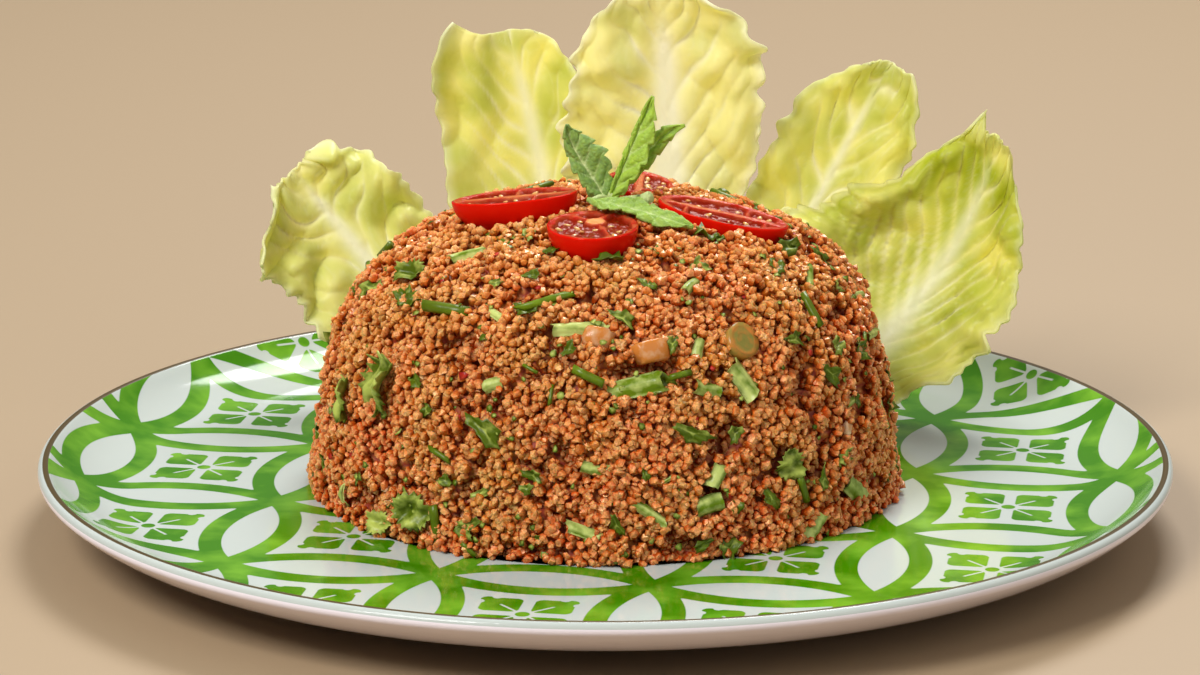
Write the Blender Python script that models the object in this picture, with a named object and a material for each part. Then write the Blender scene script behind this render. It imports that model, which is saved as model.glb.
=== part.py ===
"""Bulgur salad turned out of a round mould onto a flat dinner plate.

Five romaine leaves stand behind the mound, and four cherry tomato halves and a mint sprig lie on top.
Metres, +Z up. The origin is the middle of the plate's foot, on the table, and the front faces -Y.
"""

import math
import random

import bmesh
import bpy
from mathutils import Matrix, Vector, noise

MM = 0.001
GAP = 0.4 * MM  # kept between neighbouring pieces

# The plate
PLATE_RADIUS = 136 * MM
RIM_HEIGHT = 18 * MM
WELL_HEIGHT = 9.5 * MM
WALL_THICKNESS = 3.5 * MM
WALL_SLOPE = math.radians(44)
FOOT_OUTER_RADIUS = 80 * MM
FOOT_WIDTH = 4.5 * MM
FOOT_HEIGHT = 5 * MM
PLATE_SIDES = 48

# The mound, as it comes out of its mould
MOUND_RADIUS = 70.3 * MM
MOUND_HEIGHT = 68.6 * MM
MOUND_TAPER = 0.12
SHOULDER_POWER = 4.1
TOP_POWER = 2.5
MOUND_POINTS = 1450
GRAIN_BUMP = 0.75 * MM
CLUMP_RELIEF = 0.9 * MM
CLUMP_SIZE = 11 * MM
SHOULDER_BULGE = 2.2 * MM
BULGE_BEARING = math.radians(12)
BULGE_HEIGHT = 50 * MM

# The chopped herbs fused to the mound
HERB_COUNT = 76
TOPPING_RADIUS = 47 * MM  # the herbs stay outside it near the top, where the tomatoes lie
TOPPING_HEIGHT = 60 * MM  # the mound has no bumps above its mould's shape from here up

# The romaine leaves
LEAF_THICKNESS = 1.3 * MM
RIB_THICKNESS = 2.6 * MM
LEAF_ROWS = 15
LEAF_COLUMNS = 8
MOUND_CLEARANCE = 3.4 * MM

# The tomatoes and the mint
TOMATO_SIDES = 18
TOMATO_SINK = 1.1 * MM
MINT_THICKNESS = 0.7 * MM
STEM_RADIUS = 1.1 * MM


def clear_scene():
    for obj in list(bpy.data.objects):
        bpy.data.objects.remove(obj, do_unlink=True)


def finish_material(name, colour, roughness, metallic=0.0):
    """A plain Principled material; colour is linear red, green and blue."""
    material = bpy.data.materials.new(name)
    material.use_nodes = True
    shader = material.node_tree.nodes["Principled BSDF"]
    shader.inputs["Base Color"].default_value = (*colour, 1.0)
    shader.inputs["Roughness"].default_value = roughness
    shader.inputs["Metallic"].default_value = metallic
    material.diffuse_color = (*colour, 1.0)
    return material


def object_from(name, bm, material):
    """The bmesh as a smooth-shaded object of its own; the bmesh is freed."""
    mesh = bpy.data.meshes.new(name)
    bm.to_mesh(mesh)
    bm.free()
    mesh.shade_smooth()
    mesh.set_sharp_from_angle(angle=math.radians(40))
    mesh.materials.append(material)
    obj = bpy.data.objects.new(name, mesh)
    bpy.context.scene.collection.objects.link(obj)
    return obj


def apply_modifiers(obj):
    """Replaces the object's mesh with its evaluated mesh."""
    graph = bpy.context.evaluated_depsgraph_get()
    mesh = bpy.data.meshes.new_from_object(obj.evaluated_get(graph))
    obj.modifiers.clear()
    old = obj.data
    obj.data = mesh
    bpy.data.meshes.remove(old)


def combine(obj, others, operation, solver="EXACT"):
    """One Boolean of obj with all the others, applied; the others are removed."""
    helpers = bpy.data.collections.new(f"{obj.name}_{operation.lower()}")
    bpy.context.scene.collection.children.link(helpers)
    for other in others:
        bpy.context.scene.collection.objects.unlink(other)
        helpers.objects.link(other)
    boolean = obj.modifiers.new(operation.title(), "BOOLEAN")
    boolean.operation = operation
    boolean.operand_type = "COLLECTION"
    boolean.collection = helpers
    boolean.solver = solver
    bpy.context.view_layer.update()
    apply_modifiers(obj)
    for other in others:
        bpy.data.objects.remove(other, do_unlink=True)
    bpy.data.collections.remove(helpers)


def keep_largest_piece(obj):
    """Drops the loose scraps that a Boolean can leave."""
    bm = bmesh.new()
    bm.from_mesh(obj.data)
    unseen = set(bm.verts)
    pieces = []
    while unseen:
        start = unseen.pop()
        piece = {start}
        edge_of_search = [start]
        while edge_of_search:
            vert = edge_of_search.pop()
            for edge in vert.link_edges:
                other = edge.other_vert(vert)
                if other not in piece:
                    piece.add(other)
                    edge_of_search.append(other)
        unseen -= piece
        pieces.append(piece)
    pieces.sort(key=len)
    scraps = [vert for piece in pieces[:-1] for vert in piece]
    bmesh.ops.delete(bm, geom=scraps, context="VERTS")
    bm.to_mesh(obj.data)
    bm.free()


# The plate

def wall_arc():
    """The centre radius, the middle arc's end and the well's edge radius of the upturned wall."""
    lip = WALL_THICKNESS / 2
    end_radius = PLATE_RADIUS - lip
    end_height = RIM_HEIGHT - lip
    rise = end_height - WELL_HEIGHT + lip * math.cos(WALL_SLOPE)
    inner = rise / (1 - math.cos(WALL_SLOPE))
    well_edge = end_radius - (inner + lip) * math.sin(WALL_SLOPE)
    return inner, well_edge, end_radius, end_height


def plate_profile():
    """Half section of the plate, from the middle of the well out over the rim and back to the foot."""
    inner, well_edge, end_radius, end_height = wall_arc()
    centre_height = WELL_HEIGHT + inner
    points = [(0.0, WELL_HEIGHT)]
    for step in range(5):
        angle = WALL_SLOPE * step / 4
        points.append((well_edge + inner * math.sin(angle), centre_height - inner * math.cos(angle)))
    lip = WALL_THICKNESS / 2
    for step in range(1, 4):
        angle = WALL_SLOPE + math.pi / 2 - math.pi * step / 4
        points.append((end_radius + lip * math.cos(angle), end_height + lip * math.sin(angle)))
    outer = inner + WALL_THICKNESS
    for step in range(5):
        angle = WALL_SLOPE * (1 - step / 4)
        points.append((well_edge + outer * math.sin(angle), centre_height - outer * math.cos(angle)))
    under = WELL_HEIGHT - WALL_THICKNESS
    points += [
        (FOOT_OUTER_RADIUS, under),
        (FOOT_OUTER_RADIUS - 1 * MM, 0.0),
        (FOOT_OUTER_RADIUS - FOOT_WIDTH, 0.0),
        (FOOT_OUTER_RADIUS - FOOT_WIDTH - 1 * MM, FOOT_HEIGHT),
        (0.0, FOOT_HEIGHT),
    ]
    return points


def plate_top(radius):
    """Height of the plate's upper face at this radius."""
    inner, well_edge, end_radius, _ = wall_arc()
    if radius <= well_edge:
        return WELL_HEIGHT
    across = min(radius - well_edge, end_radius - well_edge)
    return WELL_HEIGHT + inner - math.sqrt(inner * inner - across * across)


def make_plate(material):
    bm = bmesh.new()
    verts = [bm.verts.new((x, 0.0, z)) for x, z in plate_profile()]
    edges = [bm.edges.new(pair) for pair in zip(verts, verts[1:])]
    bmesh.ops.spin(
        bm,
        geom=verts + edges,
        cent=(0, 0, 0),
        axis=(0, 0, 1),
        angle=math.tau,
        steps=PLATE_SIDES,
        use_merge=True,
    )
    bmesh.ops.remove_doubles(bm, verts=bm.verts, dist=0.01 * MM)
    bmesh.ops.recalc_face_normals(bm, faces=bm.faces)
    return object_from("plate", bm, material)


# The mound of salad

def mound_radius(height):
    """Radius of the moulded mound at this height above the well, without its relief."""
    share = min(max(height / MOUND_HEIGHT, 0.0), 1.0)
    side = MOUND_RADIUS - MOUND_TAPER * height
    return side * (1 - share**SHOULDER_POWER) ** (1 / TOP_POWER)


def mound_rings(count=400):
    """(radius, height, area above it) down the mound's profile, from the top to the base."""
    rings = [(0.0, MOUND_HEIGHT, 0.0)]
    for step in range(1, count + 1):
        height = MOUND_HEIGHT * math.cos(math.pi / 2 * step / count) ** 0.6 if step < count else 0.0
        radius = mound_radius(height)
        last_radius, last_height, area = rings[-1]
        slant = math.hypot(radius - last_radius, height - last_height)
        rings.append((radius, height, area + math.pi * (radius + last_radius) * slant))
    return rings


RINGS = mound_rings()


def ring_at(share):
    """(radius, height) where this share of the mound's area lies above."""
    area = share * RINGS[-1][2]
    low, high = 0, len(RINGS) - 1
    while high - low > 1:
        middle = (low + high) // 2
        if RINGS[middle][2] < area:
            low = middle
        else:
            high = middle
    upper, lower = RINGS[low], RINGS[high]
    part = (area - upper[2]) / (lower[2] - upper[2])
    return upper[0] + (lower[0] - upper[0]) * part, upper[1] + (lower[1] - upper[1]) * part


def mound_frame(bearing, height):
    """Point, outward normal and level tangent of the bare mound. Bearing 0 is +X, height from the well."""
    step = 0.5 * MM
    upper = min(height + step, MOUND_HEIGHT)
    lower = max(height - step, 0.0)
    slope = (mound_radius(upper) - mound_radius(lower)) / (upper - lower)
    outward = Vector((math.cos(bearing), math.sin(bearing), 0.0))
    normal = (outward - Vector((0, 0, slope))).normalized()
    point = outward * mound_radius(height) + Vector((0, 0, WELL_HEIGHT + height))
    level = Vector((-math.sin(bearing), math.cos(bearing), 0.0))
    return point, normal, level


def mound_relief(point, bearing, height):
    """How far clumps and the fuller shoulder on the right stand out of the mould's shape."""
    clumps = noise.noise(point / CLUMP_SIZE) * CLUMP_RELIEF * 2
    if height > TOPPING_HEIGHT:
        clumps = min(clumps, 0.0)
    turn = math.cos(bearing - BULGE_BEARING)
    bulge = SHOULDER_BULGE * max(turn, 0.0) ** 3 * math.exp(-(((height - BULGE_HEIGHT) / (12 * MM)) ** 2))
    return clumps + bulge


def make_mound(material):
    """The mound with bumps as coarse as its grains, as the hull of points spread evenly over a half ball."""
    draw = random.Random(7)
    golden = math.pi * (3 - math.sqrt(5))
    bm = bmesh.new()
    places = []
    for index in range(MOUND_POINTS):
        share = (index + 0.5) / MOUND_POINTS * 0.985
        radius, height = ring_at(share)
        bearing = index * golden
        around = math.sqrt(share * (2 - share))
        vert = bm.verts.new((around * math.cos(bearing), around * math.sin(bearing), 1 - share))
        bump = draw.uniform(-1, 1) * GRAIN_BUMP
        places.append((vert, bearing, height, bump))
    base_points = 150
    for index in range(base_points):
        bearing = math.tau * index / base_points
        vert = bm.verts.new((math.cos(bearing), math.sin(bearing), 0.0))
        places.append((vert, bearing, 0.0, draw.uniform(-1, 0.4) * GRAIN_BUMP))
    bmesh.ops.convex_hull(bm, input=bm.verts)
    for vert, bearing, height, bump in places:
        point, normal, _ = mound_frame(bearing, height)
        out = mound_relief(point, bearing, height)
        out += bump if height < TOPPING_HEIGHT else -abs(bump)
        if height == 0.0:
            normal = Vector((normal.x, normal.y, 0.0)).normalized()
        vert.co = point + normal * out
        vert.co.z = max(vert.co.z, WELL_HEIGHT + GAP)
    bmesh.ops.recalc_face_normals(bm, faces=bm.faces)
    return object_from("bulgur_salad", bm, material)


def herb_matrix(bearing, height, turn, lift):
    """Places a herb flat on the mound: its X runs level, turned by turn, and its Z points out."""
    point, normal, level = mound_frame(bearing, height)
    point = point + normal * (mound_relief(point, bearing, height) + lift)
    rise = normal.cross(level)
    basis = Matrix((level, rise, normal)).transposed().to_4x4()
    return Matrix.Translation(point) @ basis @ Matrix.Rotation(turn, 4, "Z")


def stalk(bm, length, width, draw):
    """A cut length of spring onion or parsley stalk, with slanting ends."""
    cap = bmesh.ops.create_cone(
        bm, cap_ends=True, segments=6, radius1=width / 2, radius2=width * 0.42, depth=length
    )
    slant = draw.uniform(-0.6, 0.6)
    for vert in cap["verts"]:
        vert.co.z += slant * vert.co.x
    bmesh.ops.rotate(bm, verts=cap["verts"], cent=(0, 0, 0), matrix=Matrix.Rotation(math.pi / 2, 3, "Y"))
    bmesh.ops.scale(bm, verts=cap["verts"], vec=(1, 1, 0.8))


def leaf_shred(bm, length, width, draw):
    """A torn piece of parsley: a lobed outline extruded to a thin wavy plate."""
    count = 9
    outline = []
    for index in range(count):
        angle = math.tau * index / count
        reach = draw.uniform(0.62, 1.0) if index % 2 else draw.uniform(0.85, 1.1)
        ahead, beside = length / 2 * math.cos(angle), width / 2 * math.sin(angle)
        outline.append(bm.verts.new((ahead * reach, beside * reach, 0)))
    face = bm.faces.new(outline)
    top = bmesh.ops.extrude_face_region(bm, geom=[face])
    raised = [item for item in top["geom"] if isinstance(item, bmesh.types.BMVert)]
    bmesh.ops.translate(bm, verts=raised, vec=(0, 0, 1.5 * MM))
    for vert in outline + raised:
        vert.co.z += 0.35 * MM * math.sin(vert.co.x / length * 5) - 1.0 * MM


def chunk(bm, length, width, draw):
    """A lump of chopped onion or walnut."""
    ball = bmesh.ops.create_icosphere(bm, subdivisions=1, radius=0.5)
    for vert in ball["verts"]:
        reach = draw.uniform(0.85, 1.1)
        vert.co = Vector((vert.co.x * length, vert.co.y * width, vert.co.z * width)) * reach


HERB_SHAPES = {"stalk": stalk, "shred": leaf_shred, "chunk": chunk}

# The pieces that show most: shape, bearing in degrees, height in mm, length and width in mm, turn in degrees
SEEN_HERBS = (
    ("shred", 218, 34, 14, 12, 80),
    ("shred", 204, 27, 10, 8, 120),
    ("shred", 231, 8, 8, 10, 80),
    ("shred", 223, 4, 8, 6, 10),
    ("stalk", 218, 62, 7, 3, 60),
    ("stalk", 229, 52, 14, 2.4, 8),
    ("stalk", 242, 53, 7, 2.2, -25),
    ("stalk", 254, 55, 13, 2.6, 31),
    ("shred", 206, 56, 10, 5, 40),
    ("shred", 196, 50, 9, 5, 50),
    ("stalk", 246, 29, 12, 4.4, -35),
    ("stalk", 264, 51, 12, 3.6, 8),
    ("chunk", 270, 49, 8, 6, -10),
    ("chunk", 280, 47, 8.5, 6.5, 14),
    ("stalk", 276, 40, 11, 4.6, 12),
    ("shred", 274, 53, 7.5, 3.4, -35),
    ("shred", 282, 59, 6, 3, -50),
    ("chunk", 302, 47, 8.4, 7.6, 0),
    ("stalk", 300, 40, 8.5, 3.8, -65),
    ("stalk", 325, 49, 9, 2.2, 82),
    ("shred", 323, 36, 9, 4.4, -45),
    ("stalk", 287, 29, 9.5, 3.2, -22),
    ("shred", 292, 19, 5.5, 3.4, 60),
    ("shred", 308, 20, 7.5, 8, 30),
    ("stalk", 329, 10, 7, 5, -50),
    ("shred", 303, 12, 7.5, 4, -60),
    ("stalk", 278, 12, 9.5, 2.6, -35),
    ("stalk", 265, 8, 8, 2.8, -18),
    ("shred", 272, 8, 7, 2.6, -62),
    ("stalk", 290, 12, 6, 4, 10),
    ("shred", 314, 4, 5.5, 4, 50),
    ("stalk", 342, 60, 9, 3, -10),
    ("shred", 349, 56, 9, 3, -45),
    ("shred", 256, 20, 6, 3.4, -20),
    ("shred", 246, 15, 6, 2.4, 28),
)


def herb_list():
    """The herbs that show most, then a seeded scatter over the rest of the mound."""
    herbs = [
        (shape, math.radians(bearing), height * MM, length * MM, width * MM, math.radians(turn))
        for shape, bearing, height, length, width, turn in SEEN_HERBS
    ]
    draw = random.Random(21)
    golden = math.pi * (3 - math.sqrt(5))
    scattered = HERB_COUNT - len(herbs)
    for index in range(scattered):
        share = 0.12 + 0.86 * (index + draw.random()) / scattered
        radius, height = ring_at(share)
        bearing = index * golden + draw.uniform(-0.3, 0.3)
        shape = draw.choice(("stalk", "shred", "shred"))
        length = draw.uniform(5, 9) * MM
        width = draw.uniform(2, 3.4) * MM if shape == "stalk" else draw.uniform(3, 6) * MM
        herbs.append((shape, bearing, max(height, 3 * MM), length, width, draw.uniform(0, math.pi)))
    placed = []
    for herb in herbs:
        point = mound_frame(herb[1], herb[2])[0]
        near_top = point.z > WELL_HEIGHT + 55 * MM and math.hypot(point.x, point.y) < TOPPING_RADIUS
        crowded = any((point - other).length < (herb[3] + size) * 0.42 for other, size in placed)
        if not near_top and not crowded:
            placed.append((point, herb[3]))
            yield herb


def make_herbs(material):
    draw = random.Random(5)
    pieces = []
    for shape, bearing, height, length, width, turn in herb_list():
        bm = bmesh.new()
        HERB_SHAPES[shape](bm, length, width, draw)
        place = herb_matrix(bearing, height, turn, lift=0.15 * width if shape == "stalk" else 0.0)
        bmesh.ops.transform(bm, matrix=place, verts=bm.verts)
        for vert in bm.verts:
            vert.co.z = max(vert.co.z, WELL_HEIGHT + GAP)
        bmesh.ops.recalc_face_normals(bm, faces=bm.faces)
        pieces.append(object_from("herb", bm, material))
    return pieces


# The romaine leaves

def bezier(points, t):
    a, b, c, d = points
    s = 1 - t
    return a * s**3 + b * (3 * s * s * t) + c * (3 * s * t * t) + d * t**3


def bezier_slope(points, t):
    a, b, c, d = points
    s = 1 - t
    return ((b - a) * (3 * s * s) + (c - b) * (6 * s * t) + (d - c) * (3 * t * t)).normalized()


def between(values, t):
    """Smooth value at t from 0 to 1 between evenly spaced values."""
    place = min(max(t, 0.0), 0.9999) * (len(values) - 1)
    index = int(place)
    part = place - index
    blend = part * part * (3 - 2 * part)
    return values[index] * (1 - blend) + values[index + 1] * blend


def blade_frame(blade, t):
    """Rib point of a leaf at t, with the directions to its side and out of its face."""
    rib = [Vector(p) * MM for p in blade["rib"]]
    along = bezier_slope(rib, t)
    face = Vector(blade["faces"][0]).lerp(Vector(blade["faces"][1]), t)
    side = along.cross(face).normalized()
    out = side.cross(along).normalized()
    return bezier(rib, t), side, out


def rolled(across, bend):
    """Reach and lift, in half widths, of a half leaf that bends by this angle, mostly near its edge."""
    steps = 6
    reach = lift = 0.0
    for step in range(steps):
        angle = bend * ((step + 0.5) / steps * across) ** 1.6
        reach += math.cos(angle) * across / steps
        lift += math.sin(angle) * across / steps
    return reach, lift


# Each leaf, its front on the side that faces the mound. Rib points in mm. Half widths in mm to the left
# and the right at even steps along the rib. Way that the face looks at foot and tip. How far each edge
# bends forward in degrees at foot, middle and tip. Ruffle depth in mm, ruffles per edge, bluntness of
# the tip and seed.
LEAVES = {
    "romaine_leaf_far_left": {
        "rib": ((-33, 68, 12), (-50, 79, 30), (-70, 86, 54), (-81, 79, 69)),
        "left": (9, 25, 32, 29, 24, 19),
        "right": (9, 14, 21, 23, 20, 16),
        "faces": ((-0.1, -1, 0.3), (0.2, -1, 0.15)),
        "bend": ((30, 60, 95), (30, 45, 60)),
        "ruffle": 2.6,
        "ruffles": 2.7,
        "bluntness": 7,
        "seed": 11,
    },
    "romaine_leaf_left": {
        "rib": ((-9, 78, 12), (-11, 86, 40), (-17, 95, 75), (-26, 92, 104)),
        "left": (9, 21, 28, 28, 25, 24),
        "right": (9, 13, 17, 18, 15, 12),
        "faces": ((0, -1, 0.1), (0.1, -1, -0.1)),
        "bend": ((30, 35, 40), (30, 30, 30)),
        "ruffle": 1.6,
        "ruffles": 2.4,
        "bluntness": 12,
        "seed": 23,
    },
    "romaine_leaf_middle": {
        "rib": ((14, 75, 12), (16, 80, 48), (18, 84, 88), (13, 70, 117.5)),
        "left": (9, 20, 27, 27, 22, 16),
        "right": (9, 13, 19, 24, 26, 23),
        "faces": ((0, -1, 0.1), (0, -1, -0.35)),
        "bend": ((30, 35, 40), (30, 35, 45)),
        "ruffle": 1.5,
        "ruffles": 3.0,
        "bluntness": 8,
        "seed": 37,
    },
    "romaine_leaf_right": {
        "rib": ((37, 68, 12), (42, 82, 38), (60, 90, 68), (74, 82, 97.5)),
        "left": (9, 14, 17, 18, 18, 10),
        "right": (9, 14, 17, 17, 17, 14),
        "faces": ((0, -1, 0.2), (-0.35, -1, -0.1)),
        "bend": ((60, 75, 60), (50, 60, 50)),
        "ruffle": 2.2,
        "ruffles": 3.2,
        "bluntness": 7,
        "seed": 41,
    },
    "romaine_leaf_far_right": {
        "rib": ((54, 54, 12), (70, 62, 27), (95, 74, 45), (99, 62, 83)),
        "left": (9, 27, 46, 42, 26, 12),
        "right": (9, 19, 27, 27, 20, 12),
        "faces": ((-0.2, -1, 0.45), (-0.35, -1, 0.0)),
        "bend": ((90, 110, 60), (70, 90, 60)),
        "ruffle": 2.8,
        "ruffles": 3.4,
        "bluntness": 6,
        "seed": 59,
    },
}


def keep_clear(point):
    """Moves a leaf's point out of the mound and up off the plate."""
    around = math.hypot(point.x, point.y)
    height = point.z - WELL_HEIGHT
    if height < MOUND_HEIGHT:
        least = mound_radius(max(height, 0.0)) + MOUND_CLEARANCE
        if around < least:
            point.x *= least / around
            point.y *= least / around
            around = least
    lowest = plate_top(around) + LEAF_THICKNESS / 2 + RIB_THICKNESS / 2 + GAP
    point.z = max(point.z, lowest)
    return point


def romaine_point(leaf, t, across):
    """Point of a leaf's middle surface at t along the rib and across from -1, left, to 1, right."""
    centre, side, out = blade_frame(leaf, t)
    right = across > 0
    wave = noise.noise(Vector((leaf["seed"], t * leaf["ruffles"] * 2.2, across)))
    tip = (1 - t ** leaf["bluntness"]) ** 0.4
    width = between(leaf["right" if right else "left"], t) * MM * tip * (1 + 0.08 * wave)
    reach, lift = rolled(abs(across), math.radians(between(leaf["bend"][right], t)))
    ruffle = math.sin(t * leaf["ruffles"] * math.tau + 1.7 * right + 2 * wave)
    ruffle *= leaf["ruffle"] * MM * abs(across) ** 2.5 * min(t * 3, 1.0)
    return centre + side * math.copysign(width * reach, across) + out * (width * lift + ruffle)


def make_romaine(name, leaf, material):
    bm = bmesh.new()
    rows = []
    for row in range(LEAF_ROWS + 1):
        t = 0.985 * (1 - (1 - row / LEAF_ROWS) ** 1.3)
        cells = [2 * column / LEAF_COLUMNS - 1 for column in range(LEAF_COLUMNS + 1)]
        rows.append([bm.verts.new(keep_clear(romaine_point(leaf, t, across))) for across in cells])
    for low, high in zip(rows, rows[1:]):
        for column in range(LEAF_COLUMNS):
            bm.faces.new((low[column], low[column + 1], high[column + 1], high[column]))
    bmesh.ops.triangulate(bm, faces=bm.faces, quad_method="SHORT_EDGE")
    obj = object_from(name, bm, material)
    group = obj.vertex_groups.new(name="thickness")
    for row in range(LEAF_ROWS + 1):
        for column in range(LEAF_COLUMNS + 1):
            middle = abs(2 * column / LEAF_COLUMNS - 1) < 0.1
            rib = (1 - row / LEAF_ROWS) if middle else 0.0
            group.add([row * (LEAF_COLUMNS + 1) + column], rib, "REPLACE")
    solidify = obj.modifiers.new("Thickness", "SOLIDIFY")
    solidify.thickness = LEAF_THICKNESS + RIB_THICKNESS
    solidify.offset = 0.0
    solidify.vertex_group = group.name
    solidify.thickness_vertex_group = LEAF_THICKNESS / (LEAF_THICKNESS + RIB_THICKNESS)
    return obj


# The tomato halves

# Each half: middle of its cut face in mm, half length, half width and depth in mm,
# turn of its long axis, tilt down along that axis and tilt across it in degrees
TOMATOES = {
    "tomato_half_left": ((-21.5, -7, 80.8), (15.0, 9.0, 9.6), 176, 6, 2),
    "tomato_half_front": ((-3.0, -26.6, 78.3), (13.0, 10.6, 10.6), 268, 2, 0),
    "tomato_half_back": ((8.4, 18.5, 78.5), (10.6, 8.3, 8.6), 86, -3, 8),
    "tomato_half_right": ((27.8, -9, 77.3), (15.7, 9.0, 9.6), -8, 11, 3),
}


def tomato_matrix(half):
    centre, _, turn, tilt, roll = half
    turned = Matrix.Rotation(math.radians(turn), 4, "Z")
    tilted = Matrix.Rotation(math.radians(tilt), 4, "Y")
    rolled = Matrix.Rotation(math.radians(roll), 4, "X")
    return Matrix.Translation(Vector(centre) * MM) @ turned @ tilted @ rolled


def cut_face_sink(reach, angle):
    """Depth of the seed chambers below the cut, on both sides of the tomato's core."""
    side = abs(math.sin(angle)) ** 0.5
    ring = max(0.0, 1 - abs(reach - 0.52) / 0.32)
    return TOMATO_SINK * side * ring


def tomato_mesh(size, grow=0.0, sunk=True):
    """Half a tomato, cut face up at Z 0, long axis on X. grow swells it for the seat that it presses."""
    length, width, depth = (value * MM + grow for value in size)
    bm = bmesh.new()
    rings = []
    for reach in (0.34, 0.56, 0.78, 0.95):
        rings.append([(reach, angle, -cut_face_sink(reach, angle) if sunk else grow) for angle in angles()])
    for drop in (0.0, 0.28, 0.55, 0.8):
        level = math.sin(drop * math.pi / 2)
        rings.append([(math.cos(drop * math.pi / 2), angle, -level * depth) for angle in angles()])
    if not sunk:
        rings[4] = [(1.0, angle, grow) for angle in angles()]
    verts = [
        [
            bm.verts.new((length * reach * math.cos(angle), width * reach * math.sin(angle), z))
            for reach, angle, z in ring
        ]
        for ring in rings
    ]
    top = bm.verts.new((0, 0, 0 if sunk else grow))
    bottom = bm.verts.new((0, 0, -depth))
    for ring, pole in ((verts[0], top), (verts[-1], bottom)):
        for index in range(TOMATO_SIDES):
            bm.faces.new((ring[index - 1], ring[index], pole))
    for inner, outer in zip(verts, verts[1:]):
        for index in range(TOMATO_SIDES):
            bm.faces.new((inner[index - 1], inner[index], outer[index], outer[index - 1]))
    bmesh.ops.recalc_face_normals(bm, faces=bm.faces)
    return bm


def angles():
    return [math.tau * index / TOMATO_SIDES for index in range(TOMATO_SIDES)]


def make_tomato(name, half, material, grow=0.0):
    bm = tomato_mesh(half[1], grow, sunk=grow == 0.0)
    bmesh.ops.transform(bm, matrix=tomato_matrix(half), verts=bm.verts)
    return object_from(name, bm, material)


# The mint sprig

# Each leaf: rib points in mm, half widths in mm to the left and the right, way that the face looks at
# foot and tip, fold of each half in degrees and teeth along each edge
MINT_LEAVES = (
    {
        "rib": ((0, -1.5, 77.8), (-0.8, -1, 82.5), (-9.5, 0.5, 90.5), (-9.2, 0.5, 96.6)),
        "left": (1, 3.4, 2.8, 1.6, 1.0),
        "right": (1, 3.8, 6.2, 4.2, 1.2),
        "faces": ((0.2, -1, 0.35), (0.1, -1, 0.2)),
        "fold": 20,
        "teeth": 4,
    },
    {
        "rib": ((0.4, -2, 77.8), (3.4, -1.6, 84), (7.0, -1, 94), (11.2, -0.8, 103.6)),
        "left": (0.8, 1.0, 1.2, 1.2, 1.0),
        "right": (0.8, 3.4, 5.4, 5.0, 2.4),
        "faces": ((-0.2, -1, 0.1), (-0.2, -1, 0.1)),
        "fold": 24,
        "teeth": 4,
    },
    {
        "rib": ((2.0, -1.0, 80.5), (7.5, 0.6, 85.2), (10.6, 1.6, 93.6), (18.9, 1.2, 96.0)),
        "left": (0.8, 2.4, 3.2, 2.6, 1.0),
        "right": (0.8, 2.2, 2.8, 2.4, 1.0),
        "faces": ((0.2, -1, 0.3), (0.2, -1, 0.5)),
        "fold": 20,
        "teeth": 3,
    },
    {
        "rib": ((-4.2, -12.8, 80.8), (3.0, -15.0, 80.2), (11.0, -18.6, 79.0), (20.2, -23.6, 76.6)),
        "left": (1.0, 4.0, 5.0, 4.6, 1.6),
        "right": (1.0, 3.8, 4.6, 4.2, 1.6),
        "faces": ((0, 0, 1), (0.2, -0.45, 1)),
        "fold": 8,
        "teeth": 5,
    },
)
STEM = ((1.2, -2.2, 72.5), (1.0, -2.2, 75.0), (0.6, -2.0, 77.0), (1.6, -1.8, 80.5))
FLAT_LEAF_STALK = ((0.8, -2.0, 77.5), (0.4, -5.5, 81.0), (-2.0, -9.5, 81.2), (-3.4, -13.2, 80.9))
BUD = ((1.0, -2.0, 77.6), (4.0, -5.0, 80.4), (7.5, -9.0, 79.6), (10.3, -11.6, 81.6))


def mint_leaf_mesh(leaf):
    """A thin toothed leaf folded along its rib."""
    rows, columns = 3 * leaf["teeth"], 4
    fold = math.sin(math.radians(leaf["fold"]))
    grid = []
    bm = bmesh.new()
    for row in range(rows + 1):
        t = row / rows
        centre, side, out = blade_frame(leaf, t)
        tooth = 1.0 if row % 2 else 0.84
        line = []
        for column in range(columns + 1):
            across = 2 * column / columns - 1
            width = between(leaf["right" if across > 0 else "left"], t) * MM * tooth
            width *= math.sqrt(1 - min(t, 0.99) ** 6)
            wave = 0.35 * MM * math.sin(6 * t + 3 * across) * abs(across)
            lift = abs(across) * width * fold + wave
            line.append(bm.verts.new(centre + side * (across * width) + out * lift))
        grid.append(line)
    for low, high in zip(grid, grid[1:]):
        for column in range(columns):
            bm.faces.new((low[column], low[column + 1], high[column + 1], high[column]))
    bmesh.ops.triangulate(bm, faces=bm.faces, quad_method="SHORT_EDGE")
    return bm


def tube_mesh(path, radius_start, radius_end, sides=6, rings=5):
    """A tapering round stalk along a Bezier path in mm."""
    path = [Vector(p) * MM for p in path]
    bm = bmesh.new()
    loops = []
    for step in range(rings + 1):
        t = step / rings
        along = bezier_slope(path, t)
        side = along.orthogonal().normalized()
        other = along.cross(side)
        radius = radius_start + (radius_end - radius_start) * t
        loop = []
        for index in range(sides):
            angle = math.tau * index / sides
            around = side * math.cos(angle) + other * math.sin(angle)
            loop.append(bm.verts.new(bezier(path, t) + around * radius))
        loops.append(loop)
    for low, high in zip(loops, loops[1:]):
        for index in range(sides):
            bm.faces.new((low[index - 1], low[index], high[index], high[index - 1]))
    bm.faces.new(loops[0])
    bm.faces.new(loops[-1])
    bmesh.ops.recalc_face_normals(bm, faces=bm.faces)
    return bm


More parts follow.
